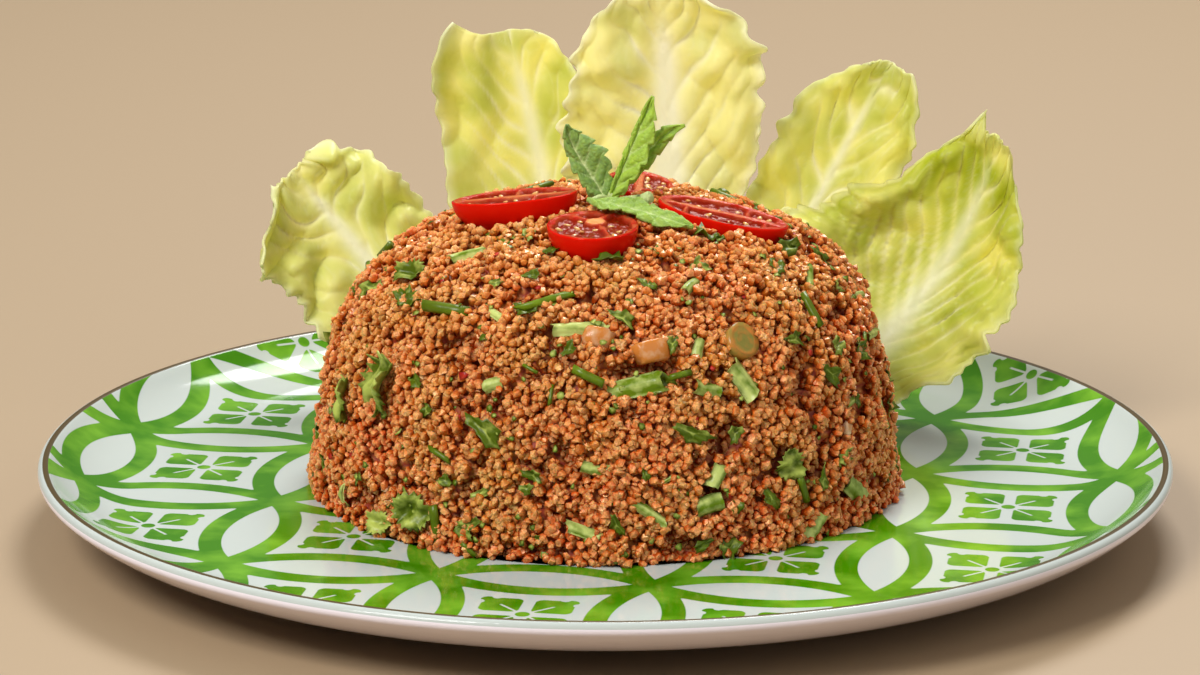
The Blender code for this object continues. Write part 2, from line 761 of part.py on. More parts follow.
def make_mint(material):
    """Stem, stalk, bud and four leaves joined into one sprig."""
    sprig = object_from("mint_sprig", tube_mesh(STEM, STEM_RADIUS, 0.9 * STEM_RADIUS), material)
    others = [
        object_from("stalk", tube_mesh(FLAT_LEAF_STALK, 0.8 * STEM_RADIUS, 0.6 * STEM_RADIUS), material),
        object_from("bud", tube_mesh(BUD, 0.6 * STEM_RADIUS, 1.3 * STEM_RADIUS), material),
    ]
    for leaf in MINT_LEAVES:
        leaf = object_from("leaf", mint_leaf_mesh(leaf), material)
        solidify = leaf.modifiers.new("Thickness", "SOLIDIFY")
        solidify.thickness = MINT_THICKNESS
        solidify.offset = 0.0
        apply_modifiers(leaf)
        others.append(leaf)
    combine(sprig, others, "UNION", solver="MANIFOLD")
    keep_largest_piece(sprig)
    return sprig


def stem_hole(material):
    """The hole that the stem makes in the mound."""
    return object_from("stem_hole", tube_mesh(STEM, STEM_RADIUS + 2 * GAP, STEM_RADIUS + 3 * GAP), material)


def main():
    clear_scene()
    porcelain = finish_material("glazed_porcelain", (0.78, 0.80, 0.78), 0.12)
    salad = finish_material("bulgur_with_herbs", (0.42, 0.15, 0.06), 0.5)
    lettuce = finish_material("romaine_leaf", (0.62, 0.62, 0.08), 0.45)
    tomato = finish_material("cherry_tomato", (0.55, 0.01, 0.008), 0.2)
    mint = finish_material("mint_leaf", (0.1, 0.25, 0.05), 0.5)
    make_plate(porcelain)
    mound = make_mound(salad)
    combine(mound, make_herbs(salad), "UNION")
    seats = [make_tomato("seat", half, tomato, grow=GAP) for half in TOMATOES.values()]
    combine(mound, [*seats, stem_hole(mint)], "DIFFERENCE")
    keep_largest_piece(mound)
    for name, half in TOMATOES.items():
        make_tomato(name, half, tomato)
    for name, leaf in LEAVES.items():
        make_romaine(name, leaf, lettuce)
    make_mint(mint)


if __name__ == "__main__":
    main()
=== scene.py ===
"""Bulgur salad turned out of a mould onto a tiled plate, with romaine, tomatoes and mint.

Laid out as an add-on and run as a script. Metres, +Z up, the front of the salad faces -Y.
"""

import math
import random
from functools import partial

import bpy
import numpy as np
from bpy.props import FloatProperty, FloatVectorProperty, IntProperty, PointerProperty
from mathutils import Matrix, Vector, noise


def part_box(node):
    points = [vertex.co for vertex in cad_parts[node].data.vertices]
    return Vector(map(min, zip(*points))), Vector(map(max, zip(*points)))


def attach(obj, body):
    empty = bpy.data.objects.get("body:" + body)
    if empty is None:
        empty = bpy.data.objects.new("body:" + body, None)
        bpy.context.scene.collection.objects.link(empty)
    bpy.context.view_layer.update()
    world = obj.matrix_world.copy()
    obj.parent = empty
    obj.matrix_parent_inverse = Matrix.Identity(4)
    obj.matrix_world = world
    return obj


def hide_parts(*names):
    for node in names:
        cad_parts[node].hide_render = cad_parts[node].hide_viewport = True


bl_info = {
    "name": "Moulded Bulgur Salad",
    "version": (1, 0, 0),
    "blender": (4, 5, 0),
    "location": "3D View > Sidebar > Salad",
    "description": "Builds a moulded bulgur salad with romaine, tomato halves and mint on a tiled plate",
    "category": "Add Mesh",
}

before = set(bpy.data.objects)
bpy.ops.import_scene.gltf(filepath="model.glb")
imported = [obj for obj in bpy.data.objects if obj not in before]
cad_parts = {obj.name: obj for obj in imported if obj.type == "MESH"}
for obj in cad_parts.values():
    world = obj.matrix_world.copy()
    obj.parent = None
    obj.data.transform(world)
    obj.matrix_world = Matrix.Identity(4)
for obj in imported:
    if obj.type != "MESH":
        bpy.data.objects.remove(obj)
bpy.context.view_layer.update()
MM = 0.001
# noise_vector would start from the time of day, and each run would give other clumps
noise.seed_set(1)

# Sizes that the frame gives
PLATE_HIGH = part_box("plate")[1]
SALAD_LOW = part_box("bulgur_salad")[0]
PLATE_RADIUS = PLATE_HIGH.x
RIM_HEIGHT = PLATE_HIGH.z
WELL_HEIGHT = SALAD_LOW.z - 0.4 * MM

# The mould's shape
MOUND_RADIUS = 70.3 * MM
MOUND_HEIGHT = 68.6 * MM
MOUND_TAPER = 0.12
SHOULDER_POWER = 4.1
TOP_POWER = 2.5
BULGE_BEARING = math.radians(12)
BULGE_HEIGHT = 50 * MM
BULGE = 2.2 * MM


def linear(colour):
    """An sRGB hex colour as linear red, green and blue."""
    parts = [int(colour[place : place + 2], 16) / 255 for place in (1, 3, 5)]
    return tuple(part / 12.92 if part <= 0.04045 else ((part + 0.055) / 1.055) ** 2.4 for part in parts)


def length(name, description, default):
    return FloatProperty(name=name, description=description, default=default, unit="LENGTH", precision=5)


def colour(name, description, default):
    return FloatVectorProperty(
        name=name, description=description, default=linear(default), subtype="COLOR", min=0, max=1
    )


# Settings


class PlateSettings(bpy.types.PropertyGroup):
    radius: length("Radius", "From the middle to the lip", PLATE_RADIUS)
    thickness: length("Thickness", "Thickness of the wall and the well", 3.5 * MM)
    tile: length("Tile", "Side of one square of the printed pattern", 49 * MM)
    stroke: length("Stroke", "Width of the printed bands", 5.3 * MM)
    print_dark: colour("Print", "Green of the pattern", "#3A7600")
    print_light: colour("Thin print", "Green where the print is thin", "#6BA024")
    glaze: colour("Glaze", "White of the porcelain", "#B3BAB4")
    # The outside porcelain is painted lighter and pinker than the glaze on top: painted fill light for the
    # shade under the lip
    outside: colour("Outside", "Plain porcelain of the wall and the foot ring", "#E6DEE4")
    line: colour("Line", "Gilt line under the lip", "#4A3A18")


class SaladSettings(bpy.types.PropertyGroup):
    grain_count: IntProperty(name="Grains", description="Loose grains on the mound", default=26000, min=100)
    grain_size: length("Grain size", "Mean width of a soaked grain", 2.1 * MM)
    clump: length("Clump", "Size of the clumps that the grains stick in", 7.5 * MM)
    brown: colour("Brown grain", "Grains with least tomato paste", "#C87A2A")
    orange: colour("Orange grain", "Grains with most tomato paste", "#D4561A")
    # The pale colour also serves as the painted highlight on each grain's outer end
    pale: colour("Pale grain", "The palest grains", "#F4BA7A")
    gap: colour("Gap", "Shade between the grains", "#8E2800")


class HerbSettings(bpy.types.PropertyGroup):
    parsley_count: IntProperty(name="Parsley", description="Torn pieces of parsley", default=110, min=0)
    fleck_count: IntProperty(name="Flecks", description="Finely chopped parsley", default=520, min=0)
    # Parsley's dark and light colours also serve as the painted shade in the furrows and the painted light on
    # the ridges of crumpled pieces
    parsley_dark: colour("Parsley", "Upper side of a parsley leaf", "#566808")
    parsley_light: colour("Parsley light", "Underside and torn edge of parsley", "#BEC85E")
    onion_green: colour("Onion green", "Green part of spring onion", "#6F8A10")
    onion_pale: colour("Onion pale", "Pale part of spring onion", "#D2DC80")
    onion_white: colour("Onion white", "Chopped onion stained by tomato paste", "#DC8A3C")
    pepper: colour("Pepper", "Dried red pepper flakes", "#9C1410")


class LettuceSettings(bpy.types.PropertyGroup):
    thickness: length("Thickness", "Thickness of the blade", 0.7 * MM)
    rib: length("Rib", "Added thickness of the midrib at the foot", 2.6 * MM)
    light: colour("Light", "Yellow-green of the blade", "#FBF58C")
    deep: colour("Deep", "Green of the outer parts", "#C4CE1E")
    # The pale colour also serves as the painted highlight along the margins and at the tip
    pale: colour("Pale", "Midrib and veins", "#FFFDE4")


class TomatoSettings(bpy.types.PropertyGroup):
    skin: colour("Skin", "Skin of the tomato", "#CC1203")
    flesh: colour("Flesh", "Wall of the cut face", "#A81C0E")
    gel: colour("Gel", "Gel around the seeds", "#7C1804")
    core: colour("Core", "Pale core and partitions", "#DC9258")
    seed: colour("Seed", "Seeds", "#CE9C58")


class MintSettings(bpy.types.PropertyGroup):
    thickness: length("Thickness", "Thickness of a leaf", 0.45 * MM)
    upper: colour("Upper side", "Dark side of a leaf", "#7C9C5A")
    under: colour("Underside", "Light side of a leaf", "#B8D84A")
    vein: colour("Vein", "Veins and stem", "#E0EAA8")


class StageSettings(bpy.types.PropertyGroup):
    floor: colour("Floor", "Plain pale floor", "#9D876A")
    key: FloatProperty(name="Key", description="Window light from the left", default=24, unit="POWER")
    fill: FloatProperty(name="Fill", description="Soft light from the right", default=6, unit="POWER")
    back: FloatProperty(name="Back", description="Light through the leaves", default=24, unit="POWER")
    lens: FloatProperty(name="Lens", description="Focal length in mm", default=120)


# Helpers


def add_node(tree, kind, inputs=None, output=0, stops=None, **settings):
    """Adds a node with its settings and links, and gives its output, or the node where output is None."""
    new = tree.nodes.new("ShaderNode" + kind)
    for name, value in settings.items():
        setattr(new, name, value)
    for key, value in (inputs or {}).items():
        if isinstance(value, bpy.types.NodeSocket):
            tree.links.new(value, new.inputs[key])
        else:
            socket = new.inputs[key]
            flat = socket.type == "RGBA" and len(value) == 3
            socket.default_value = (*value, 1.0) if flat else value
    if stops:
        elements = new.color_ramp.elements
        while len(elements) < len(stops):
            elements.new(0.5)
        for element, (position, value) in zip(elements, stops):
            element.position = position
            element.color = (*value, 1.0)
    return new if output is None else new.outputs[output]


COLOUR_MIX = {"output": 2, "data_type": "RGBA"}


def new_material(name):
    """A material with an empty node tree, and the call that adds nodes to it."""
    material = bpy.data.materials.new(name)
    material.use_nodes = True
    material.node_tree.nodes.clear()
    return material, partial(add_node, material.node_tree)


def deselect_all():
    if bpy.context.mode != "OBJECT":
        bpy.ops.object.mode_set(mode="OBJECT")
    bpy.ops.object.select_all(action="DESELECT")


def finish_piece(piece, name, slot, *nodes, materials=()):
    """Names the piece, gives it its materials and ties it to the frame."""
    piece.name = name
    piece.data.name = name
    for material in materials:
        piece.data.materials.append(material)
    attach(piece, "root")
    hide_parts(*nodes)
    return piece


def apply_all_modifiers(piece):
    deselect_all()
    piece.select_set(True)
    bpy.context.view_layer.objects.active = piece
    for modifier in list(piece.modifiers):
        bpy.ops.object.modifier_apply(modifier=modifier.name)


def corners_of(mesh):
    """The mesh's points as rows of an array."""
    points = np.empty(len(mesh.vertices) * 3)
    mesh.vertices.foreach_get("co", points)
    return points.reshape(-1, 3)


def move_corners(mesh, points):
    mesh.vertices.foreach_set("co", np.asarray(points, dtype=np.float32).ravel())
    mesh.update()


def write_attribute(mesh, name, values):
    """One red, green, blue value for each point of the mesh."""
    attribute = mesh.attributes.new(name, "FLOAT_COLOR", "POINT")
    rows = np.ones((len(mesh.vertices), 4), dtype=np.float32)
    rows[:, :3] = values
    attribute.data.foreach_set("color", rows.ravel())


def bezier(points, t):
    a, b, c, d = points
    s = 1 - t
    return a * s**3 + b * (3 * s * s * t) + c * (3 * s * t * t) + d * t**3


def bezier_slope(points, t):
    a, b, c, d = points
    s = 1 - t
    return ((b - a) * (3 * s * s) + (c - b) * (6 * s * t) + (d - c) * (3 * t * t)).normalized()


def between(values, t):
    """Smooth value at t from 0 to 1 between evenly spaced values."""
    place = min(max(t, 0.0), 0.9999) * (len(values) - 1)
    index = int(place)
    part = place - index
    blend = part * part * (3 - 2 * part)
    return values[index] * (1 - blend) + values[index + 1] * blend


def smooth_step(low, high, value):
    part = min(max((value - low) / (high - low), 0.0), 1.0)
    return part * part * (3 - 2 * part)


# The plate

WALL_SLOPE = math.radians(44)
FOOT_RADIUS = 80 * MM
FOOT_WIDTH = 4.5 * MM
FOOT_HEIGHT = 5 * MM
PATTERN_ORIGIN = (-86.4 * MM, -67.5 * MM)
PATTERN_TURN = math.radians(-9.8)
ARC_RADIUS = 41.2 * MM
ARC_RISE = 8.25 * MM
LINE_RADIUS = 134.1 * MM
LINE_WIDTH = 1.4 * MM


def wall_arc(plate):
    """Radius of the wall's inner curve, where it starts on the well, and where its lip is centred."""
    lip = plate.thickness / 2
    end_radius = plate.radius - lip
    end_height = RIM_HEIGHT - lip
    rise = end_height - WELL_HEIGHT + lip * math.cos(WALL_SLOPE)
    inner = rise / (1 - math.cos(WALL_SLOPE))
    return inner, end_radius - (inner + lip) * math.sin(WALL_SLOPE), end_radius, end_height


def plate_top(radius, plate):
    """Height of the plate's upper face at this radius."""
    inner, well_edge, end_radius, _ = wall_arc(plate)
    across = min(max(radius - well_edge, 0.0), end_radius - well_edge)
    return WELL_HEIGHT + inner - math.sqrt(inner * inner - across * across)


def plate_profile(plate):
    """(radius, height) from the well over the lip and under to the foot, and how many of them are on top."""
    inner, well_edge, end_radius, end_height = wall_arc(plate)
    lip = plate.thickness / 2
    centre = WELL_HEIGHT + inner
    points = [(well_edge * share, WELL_HEIGHT) for share in (0.25, 0.6, 0.85, 0.97)]
    for step in range(15):
        angle = WALL_SLOPE * step / 14
        points.append((well_edge + inner * math.sin(angle), centre - inner * math.cos(angle)))
    top = len(points)
    for step in range(1, 9):
        angle = WALL_SLOPE + math.pi / 2 - math.pi * step / 9
        points.append((end_radius + lip * math.cos(angle), end_height + lip * math.sin(angle)))
    outer = inner + plate.thickness
    for step in range(11):
        angle = WALL_SLOPE * (1 - step / 10)
        points.append((well_edge + outer * math.sin(angle), centre - outer * math.cos(angle)))
    under = WELL_HEIGHT - plate.thickness
    round_edge = 0.8 * MM
    points += [
        (FOOT_RADIUS + 2 * MM, under),
        (FOOT_RADIUS + 0.4 * MM, under - 0.4 * MM),
        (FOOT_RADIUS, under - 1.4 * MM),
        (FOOT_RADIUS - 0.2 * MM, round_edge),
        (FOOT_RADIUS - 1.0 * MM, 0.0),
        (FOOT_RADIUS - FOOT_WIDTH + 0.6 * MM, 0.0),
        (FOOT_RADIUS - FOOT_WIDTH - 0.2 * MM, round_edge),
        (FOOT_RADIUS - FOOT_WIDTH - 1.2 * MM, FOOT_HEIGHT - 0.4 * MM),
        (FOOT_RADIUS - FOOT_WIDTH - 2.4 * MM, FOOT_HEIGHT),
        (FOOT_RADIUS * 0.5, FOOT_HEIGHT),
    ]
    return points, top


def lathe(profile, sides):
    """A ring drawn out along the profile and closed at both ends."""
    deselect_all()
    radius, height = profile[0]
    bpy.ops.mesh.primitive_circle_add(vertices=sides, radius=radius, location=(0, 0, height))
    piece = bpy.context.object
    piece.data.transform(piece.matrix_world)
    piece.matrix_world = Matrix.Identity(4)
    bpy.ops.object.mode_set(mode="EDIT")
    bpy.ops.mesh.select_all(action="SELECT")
    for (radius, height), (last_radius, last_height) in zip(profile[1:], profile):
        bpy.ops.mesh.extrude_region_move(TRANSFORM_OT_translate={"value": (0, 0, height - last_height)})
        scale = radius / last_radius
        bpy.ops.transform.resize(value=(scale, scale, 1), center_override=(0, 0, 0))
    bpy.ops.mesh.select_all(action="SELECT")
    bpy.ops.mesh.fill_holes(sides=0)
    bpy.ops.mesh.select_all(action="SELECT")
    bpy.ops.mesh.normals_make_consistent(inside=False)
    bpy.ops.object.mode_set(mode="OBJECT")
    return piece


def glazed_porcelain(plate):
    """White porcelain under a clear fired glaze: sharp window reflections on a soft white body, painted
    lighter and pinker than the glaze on top as painted fill light for the shade under the lip.
    """
    material, node = new_material("glazed_porcelain")
    spots = node("TexNoise", {"Scale": 60.0, "Detail": 2.0})
    ripple = node("Bump", {"Height": spots, "Strength": 0.08, "Distance": 0.4 * MM})
    # The body colour is painted lighter than the glaze on top: painted fill light for its shade
    shader = node(
        "BsdfPrincipled", {"Base Color": plate.outside, "Roughness": 0.09, "IOR": 1.5, "Normal": ripple}
    )
    node("OutputMaterial", {"Surface": shader}, output=None)
    return material


def printed_porcelain(plate):
    """The same porcelain with the green tile pattern printed under its glaze, a little uneven in strength."""
    material, node = new_material("printed_porcelain")
    place = node("UVMap", uv_map="surface")
    tile = plate.tile
    on_tiles = node(
        "Mapping",
        {
            "Vector": place,
            "Location": (*PATTERN_ORIGIN, 0.0),
            "Rotation": (0.0, 0.0, PATTERN_TURN),
            "Scale": (tile, tile, 1.0),
        },
        vector_type="TEXTURE",
    )
    axes = node("SeparateXYZ", {0: on_tiles}, output=None)
    u = node("Math", {0: axes.outputs[0], 1: 0.5}, operation="PINGPONG")
    v = node("Math", {0: axes.outputs[1], 1: 0.5}, operation="PINGPONG")
    # Each side of a tile is a lens of two arcs, and the bands of neighbouring sides run together
    bands = []
    for first, second in ((u, v), (v, u)):
        point = node("CombineXYZ", {0: first, 1: second})
        centre = (0.5, (ARC_RISE - ARC_RADIUS) / tile, 0.0)
        reach = node("VectorMath", {0: point, 1: centre}, output=1, operation="DISTANCE")
        offset = node("Math", {0: reach, 1: ARC_RADIUS / tile}, operation="SUBTRACT")
        bands.append(node("Math", {0: offset}, operation="ABSOLUTE"))
    nearest = node("Math", {0: bands[0], 1: bands[1], 2: 1.5 * MM / tile}, operation="SMOOTH_MIN")
    soft = 0.12 * MM / tile
    half = plate.stroke / 2 / tile
    band = node("MapRange", {0: nearest, 1: half + soft, 2: half - soft})
    # The flower in the middle of each tile, drawn in one quarter, in mm from its centre lines
    quarter = []
    for axis in (u, v):
        away = node("Math", {0: 0.5, 1: axis}, operation="SUBTRACT")
        quarter.append(node("Math", {0: away, 1: tile / MM}, operation="MULTIPLY"))
    far = node("Math", {0: quarter[0], 1: quarter[1]}, operation="MAXIMUM")
    near = node("Math", {0: quarter[0], 1: quarter[1]}, operation="MINIMUM")
    spot = node("CombineXYZ", {0: far, 1: near})
    from_petal = node("VectorMath", {0: spot, 1: (5.9, 5.9, 0)}, operation="SUBTRACT")
    beside = node("VectorMath", {0: from_petal}, operation="ABSOLUTE")
    past = node("VectorMath", {0: beside, 1: (2.7, 2.7, 0)}, operation="SUBTRACT")
    outside = node("VectorMath", {0: past, 1: (0, 0, 0)}, operation="MAXIMUM")
    petal_reach = node("VectorMath", {0: outside}, output=1, operation="LENGTH")
    petal = node("MapRange", {0: petal_reach, 1: 1.95, 2: 1.7})
    discs = {}
    marks = (("lobe", (9.3, 9.3, 0), 1.7), ("notch", (11.0, 7.6, 0), 1.1), ("dot", (0, 0, 0), 1.65))
    for name, centre, radius in marks:
        reach = node("VectorMath", {0: spot, 1: centre}, output=1, operation="DISTANCE")
        discs[name] = node("MapRange", {0: reach, 1: radius + 0.12, 2: radius - 0.12})
    petal = node("Math", {0: petal, 1: discs["lobe"]}, operation="MAXIMUM")
    petal = node("Math", {0: petal, 1: discs["notch"]}, operation="SUBTRACT", use_clamp=True)
    across = node("Math", {0: far, 1: near}, operation="SUBTRACT")
    along = node("Math", {0: far, 1: near}, operation="ADD")
    thin = node("MapRange", {0: across, 1: 0.55, 2: 0.3})
    short = node("MapRange", {0: along, 1: 12.4, 2: 11.4})
    vein = node("Math", {0: thin, 1: short}, operation="MULTIPLY")
    petal = node("Math", {0: petal, 1: vein}, operation="SUBTRACT", use_clamp=True)
    flower = node("Math", {0: petal, 1: discs["dot"]}, operation="MAXIMUM")
    printed = node("Math", {0: band, 1: flower}, operation="MAXIMUM")
    # The print is thin in soft patches about 15 mm wide
    spots = node("TexNoise", {"Vector": place, "Scale": 65.0, "Detail": 3.0})
    patches = node("MapRange", {0: spots, 1: 0.42, 2: 0.68})
    green = node("Mix", {0: patches, 6: plate.print_dark, 7: plate.print_light}, **COLOUR_MIX)
    body = node("Mix", {0: printed, 6: plate.glaze, 7: green}, **COLOUR_MIX)
    # The gilt line just inside the lip
    position = node("TexCoord", output=3)
    flat = node("VectorMath", {0: position, 1: (1, 1, 0)}, operation="MULTIPLY")
    radius = node("VectorMath", {0: flat}, output=1, operation="LENGTH")
    offset = node("Math", {0: radius, 1: LINE_RADIUS}, operation="SUBTRACT")
    beyond = node("MapRange", {0: offset, 1: -LINE_WIDTH / 2, 2: -LINE_WIDTH / 2 + 0.1 * MM})
    distance = node("Math", {0: offset}, operation="ABSOLUTE")
    line = node("MapRange", {0: distance, 1: LINE_WIDTH / 2 + 0.05 * MM, 2: LINE_WIDTH / 2 - 0.1 * MM})
    body = node("Mix", {0: beyond, 6: body, 7: plate.glaze}, **COLOUR_MIX)
    body = node("Mix", {0: line, 6: body, 7: plate.line}, **COLOUR_MIX)
    dull = node("MapRange", {0: line, 3: 0.09, 4: 0.32})
    waves = node("TexNoise", {"Vector": place, "Scale": 60.0, "Detail": 2.0})
    ripple = node("Bump", {"Height": waves, "Strength": 0.08, "Distance": 0.4 * MM})
    shader = node(
        "BsdfPrincipled",
        {"Base Color": body, "Roughness": dull, "IOR": 1.5, "Specular IOR Level": 0.18, "Normal": ripple},
    )
    node("OutputMaterial", {"Surface": shader}, output=None)
    return material


class SALAD_OT_plate(bpy.types.Operator):
    """Turns the dinner plate and prints its tile pattern"""

    bl_idname = "salad.plate"
    bl_label = "Tiled plate"

    def execute(self, context):
        plate = context.scene.salad_plate
        profile, top = plate_profile(plate)
        piece = lathe(profile, sides=192)
        mesh = piece.data
        inner, well_edge, _, _ = wall_arc(plate)
        surface = mesh.uv_layers.new(name="surface")
        for loop in mesh.loops:
            point = mesh.vertices[loop.vertex_index].co
            radius = math.hypot(point.x, point.y)
            spread = radius
            if radius > well_edge:
                spread = well_edge + inner * math.asin(min((radius - well_edge) / inner, 1.0))
            surface.data[loop.index].uv = (point.x * spread / radius, point.y * spread / radius)
        last_ring = profile[top - 1]
        for face in mesh.polygons:
            lies_under = face.normal.z < 0.3 and math.hypot(*face.center.xy) > last_ring[0] - 2 * MM
            face.material_index = 1 if face.normal.z < 0 or lies_under else 0
        finish_piece(
            piece,
            "tiled_plate",
            "glazed_porcelain",
            "plate",
            materials=(printed_porcelain(plate), glazed_porcelain(plate)),
        )
        bpy.ops.object.shade_smooth_by_angle(angle=math.radians(40))
        return {"FINISHED"}


# The mound of salad


def mound_radius(height):
    """Radius of the moulded mound at this height above the well."""
    share = np.clip(height / MOUND_HEIGHT, 0, 1)
    return (MOUND_RADIUS - MOUND_TAPER * height) * (1 - share**SHOULDER_POWER) ** (1 / TOP_POWER)


def mound_profile(count=600):
    """Radius, height, share of the mound's area above, and outward normal, from the top down to the base."""
    height = MOUND_HEIGHT * np.cos(np.linspace(0, math.pi / 2, count)) ** 0.6
    height[-1] = 0.0
    radius = mound_radius(height)
    slant = np.hypot(np.diff(radius), np.diff(height))
    area = np.concatenate(([0.0], np.cumsum(slant * (radius[1:] + radius[:-1]))))
    out = -np.gradient(height)
    up = np.gradient(radius)
    size = np.hypot(out, up)
    return radius, height, area / area[-1], out / size, up / size


PROFILE = mound_profile()


def on_mound(bearing, share):
    """Points and outward normals on the mould's shape, where share of the mound's area lies above."""
    radius, height, shares, out, up = PROFILE
    r, h, o, u = (np.interp(share, shares, column) for column in (radius, height, out, up))
    cos, sin = np.cos(bearing), np.sin(bearing)
    return np.stack([r * cos, r * sin, WELL_HEIGHT + h], -1), np.stack([o * cos, o * sin, u], -1)


def share_above(height):
    """Share of the mound's area above this height."""
    return float(np.interp(-height, -PROFILE[1], PROFILE[2]))


# Deep breaks in the pressed grain: bearing in degrees, height, length and width in mm, turn in degrees
SEEN_CREVICES = (
    (277, 43, 18.4, 5.8, 4), (261, 46, 10.3, 4.8, -20), (295, 27, 12.6, 8, 25), (291, 15, 9.2, 6.4, -50),
    (306, 20, 10.3, 5.6, 40), (326, 9, 9.2, 6.4, 10), (286, 4, 10.3, 5.6, 0), (247, 34, 9.2, 4.8, -40),
    (232, 46, 8, 4.8, 30), (262, 24, 8, 4.8, -30), (316, 36, 9.2, 4.8, 60), (338, 30, 9.2, 4.8, -60),
    (20, 30, 13.8, 6.4, 10), (60, 40, 11.5, 6.4, -30), (110, 25, 13.8, 6.4, 40), (150, 42, 11.5, 6.4, 0),
    (180, 20, 11.5, 6.4, 50),
)


def inside_patch(point, bearing, height, long, wide, turn):
    """How far a point lies inside an oval patch of the mound: 1 in its middle, 0 at its rim and beyond."""
    around = math.hypot(point[0], point[1]) / MM
    off = (math.degrees(math.atan2(point[1], point[0])) - bearing + 180) % 360 - 180
    right, up = math.radians(off) * around, (point[2] - WELL_HEIGHT) / MM - height
    if abs(right) > long or abs(up) > long:
        return 0.0
    cos, sin = math.cos(math.radians(turn)), math.sin(math.radians(turn))
    ahead, beside = (right * cos + up * sin) / long, (up * cos - right * sin) / wide
    return max(0.0, 1 - 4 * (ahead * ahead + beside * beside))


def clump_relief(point, clump):
    """How far clumps stand out of the mould's shape, and how deep a crevice lies here, from 0 to 1."""
    point = Vector(point)
    broad = noise.noise(point / (11 * MM)) * 1.5 * MM
    warp = noise.noise_vector(point / (4 * MM)) * 0.9 * MM
    near = noise.voronoi((point + warp) / clump)[0]
    edge = near[1] - near[0]
    open_here = smooth_step(-0.15, 0.25, noise.noise(point / (9 * MM) + Vector((7, 3, 1))))
    crevice = (1 - smooth_step(0.0, 0.24, edge)) * open_here
    for patch in SEEN_CREVICES:
        wobble = 1 + 0.8 * noise.noise(point / (3 * MM))
        crevice = max(crevice, min(2.2 * inside_patch(point, *patch) * wobble, 1.2))
    small = noise.noise(point / (2.8 * MM)) * 0.7 * MM
    turn = math.atan2(point.y, point.x) - BULGE_BEARING
    rise = (point.z - WELL_HEIGHT - BULGE_HEIGHT) / (12 * MM)
    bulge = BULGE * max(math.cos(turn), 0.0) ** 3 * math.exp(-rise * rise)
    return broad + small + bulge, crevice


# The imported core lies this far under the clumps, and it and the loose grains drop this far in a crevice
CORE_DEPTH = 1.2 * MM
CORE_CREVICE = 3.4 * MM
GRAIN_CREVICE = 4.2 * MM
# Share of the mound's area that counts as its top
TOP_SHARE = 0.2


def herb_covers(point):
    """Whether one of the larger herbs lies over this place on the mound."""
    return any(herb[0] != "pepper" and inside_patch(point, *herb[1:6]) > 0.15 for herb in SEEN_HERBS)


def tomato_matrix(half):
    centre, _, turn, tilt, roll, _ = half
    turned = Matrix.Rotation(math.radians(turn), 4, "Z")
    tilted = Matrix.Rotation(math.radians(tilt), 4, "Y")
    rolled = Matrix.Rotation(math.radians(roll), 4, "X")
    return Matrix.Translation(Vector(centre) * MM) @ turned @ tilted @ rolled


# Each half: middle of its cut face in mm, half length, half width and depth in mm,
# turn of its long axis, tilt down along that axis and tilt across it in degrees, and which way it was cut
TOMATOES = {
    "tomato_half_left": ((-21.5, -7, 80.8), (15.0, 9.0, 9.6), 176, 6, 2, "along"),
    "tomato_half_front": ((-3.0, -26.6, 78.3), (13.0, 10.6, 10.6), 268, 2, 0, "across"),
    "tomato_half_back": ((8.4, 18.5, 78.5), (10.6, 8.3, 8.6), 86, -3, 8, "along"),
    "tomato_half_right": ((27.8, -9, 77.3), (15.7, 9.0, 9.6), -8, 11, 3, "along"),
}


SEEDS_PER_HALF = 11
SEED_TRIES = 400


def inside_tomatoes(points, grow):
    """How deep each point lies in a tomato half, as a share of its size: 0 outside."""
    deep = np.zeros(len(points))
    for half in TOMATOES.values():
        back = np.array(tomato_matrix(half).inverted())
        local = points @ back[:3, :3].T + back[:3, 3]
        size = np.array(half[1]) * MM + grow
        reach = np.linalg.norm(local / size, axis=1)
        deep = np.maximum(deep, np.where(local[:, 2] < grow, 1 - reach, 0))
    return deep


def solid_of(kind, **options):
    """The points and faces of a primitive, which is then removed."""
    deselect_all()
    kind(**options)
    helper = bpy.context.object
    points = corners_of(helper.data)
    faces = [tuple(face.vertices) for face in helper.data.polygons]
    bpy.data.objects.remove(helper, do_unlink=True)
    return points, faces


def join_copies(name, shapes, copies, smooth=True):
    """One mesh of many copies: each is (shape number, 3x3 turn and size, place, (shade, chance)), and where
    the third value goes from the copy's inner side, for painted shade, to its outer side, for a painted
    highlight, the way out over the size of the copy."""
    points, values, faces, start = [], [], [], 0
    for number, turn, place, value, *outward in copies:
        corners, sides, streak = shapes[number]
        turned = corners @ turn.T
        points.append(turned + place)
        rows = np.empty((len(corners), 3))
        rows[:, :2] = value
        rows[:, 2] = np.clip(0.5 + turned @ outward[0], 0, 1) if outward else streak
        values.append(rows)
        faces.append(np.array(sides) + start)
        start += len(corners)
    mesh = bpy.data.meshes.new(name)
    mesh.from_pydata(np.concatenate(points), [], [side for group in faces for side in group.tolist()])
    write_attribute(mesh, "piece", np.concatenate(values))
    if smooth:
        mesh.shade_smooth()
    piece = bpy.data.objects.new(name, mesh)
    bpy.context.scene.collection.objects.link(piece)
    return piece


def random_turn(draw):
    """An even random rotation as a 3x3 array."""
    a, b, c = draw.random(), draw.random() * math.tau, draw.random() * math.tau
    turn = Matrix.Rotation(c, 3, "Z") @ Matrix.Rotation(math.acos(2 * a - 1), 3, "X")
    return np.array(turn @ Matrix.Rotation(b, 3, "Z"))


GRAIN_SHAPES = 24
GRAIN_CORNERS = 12
CORNER_GAP = 0.72


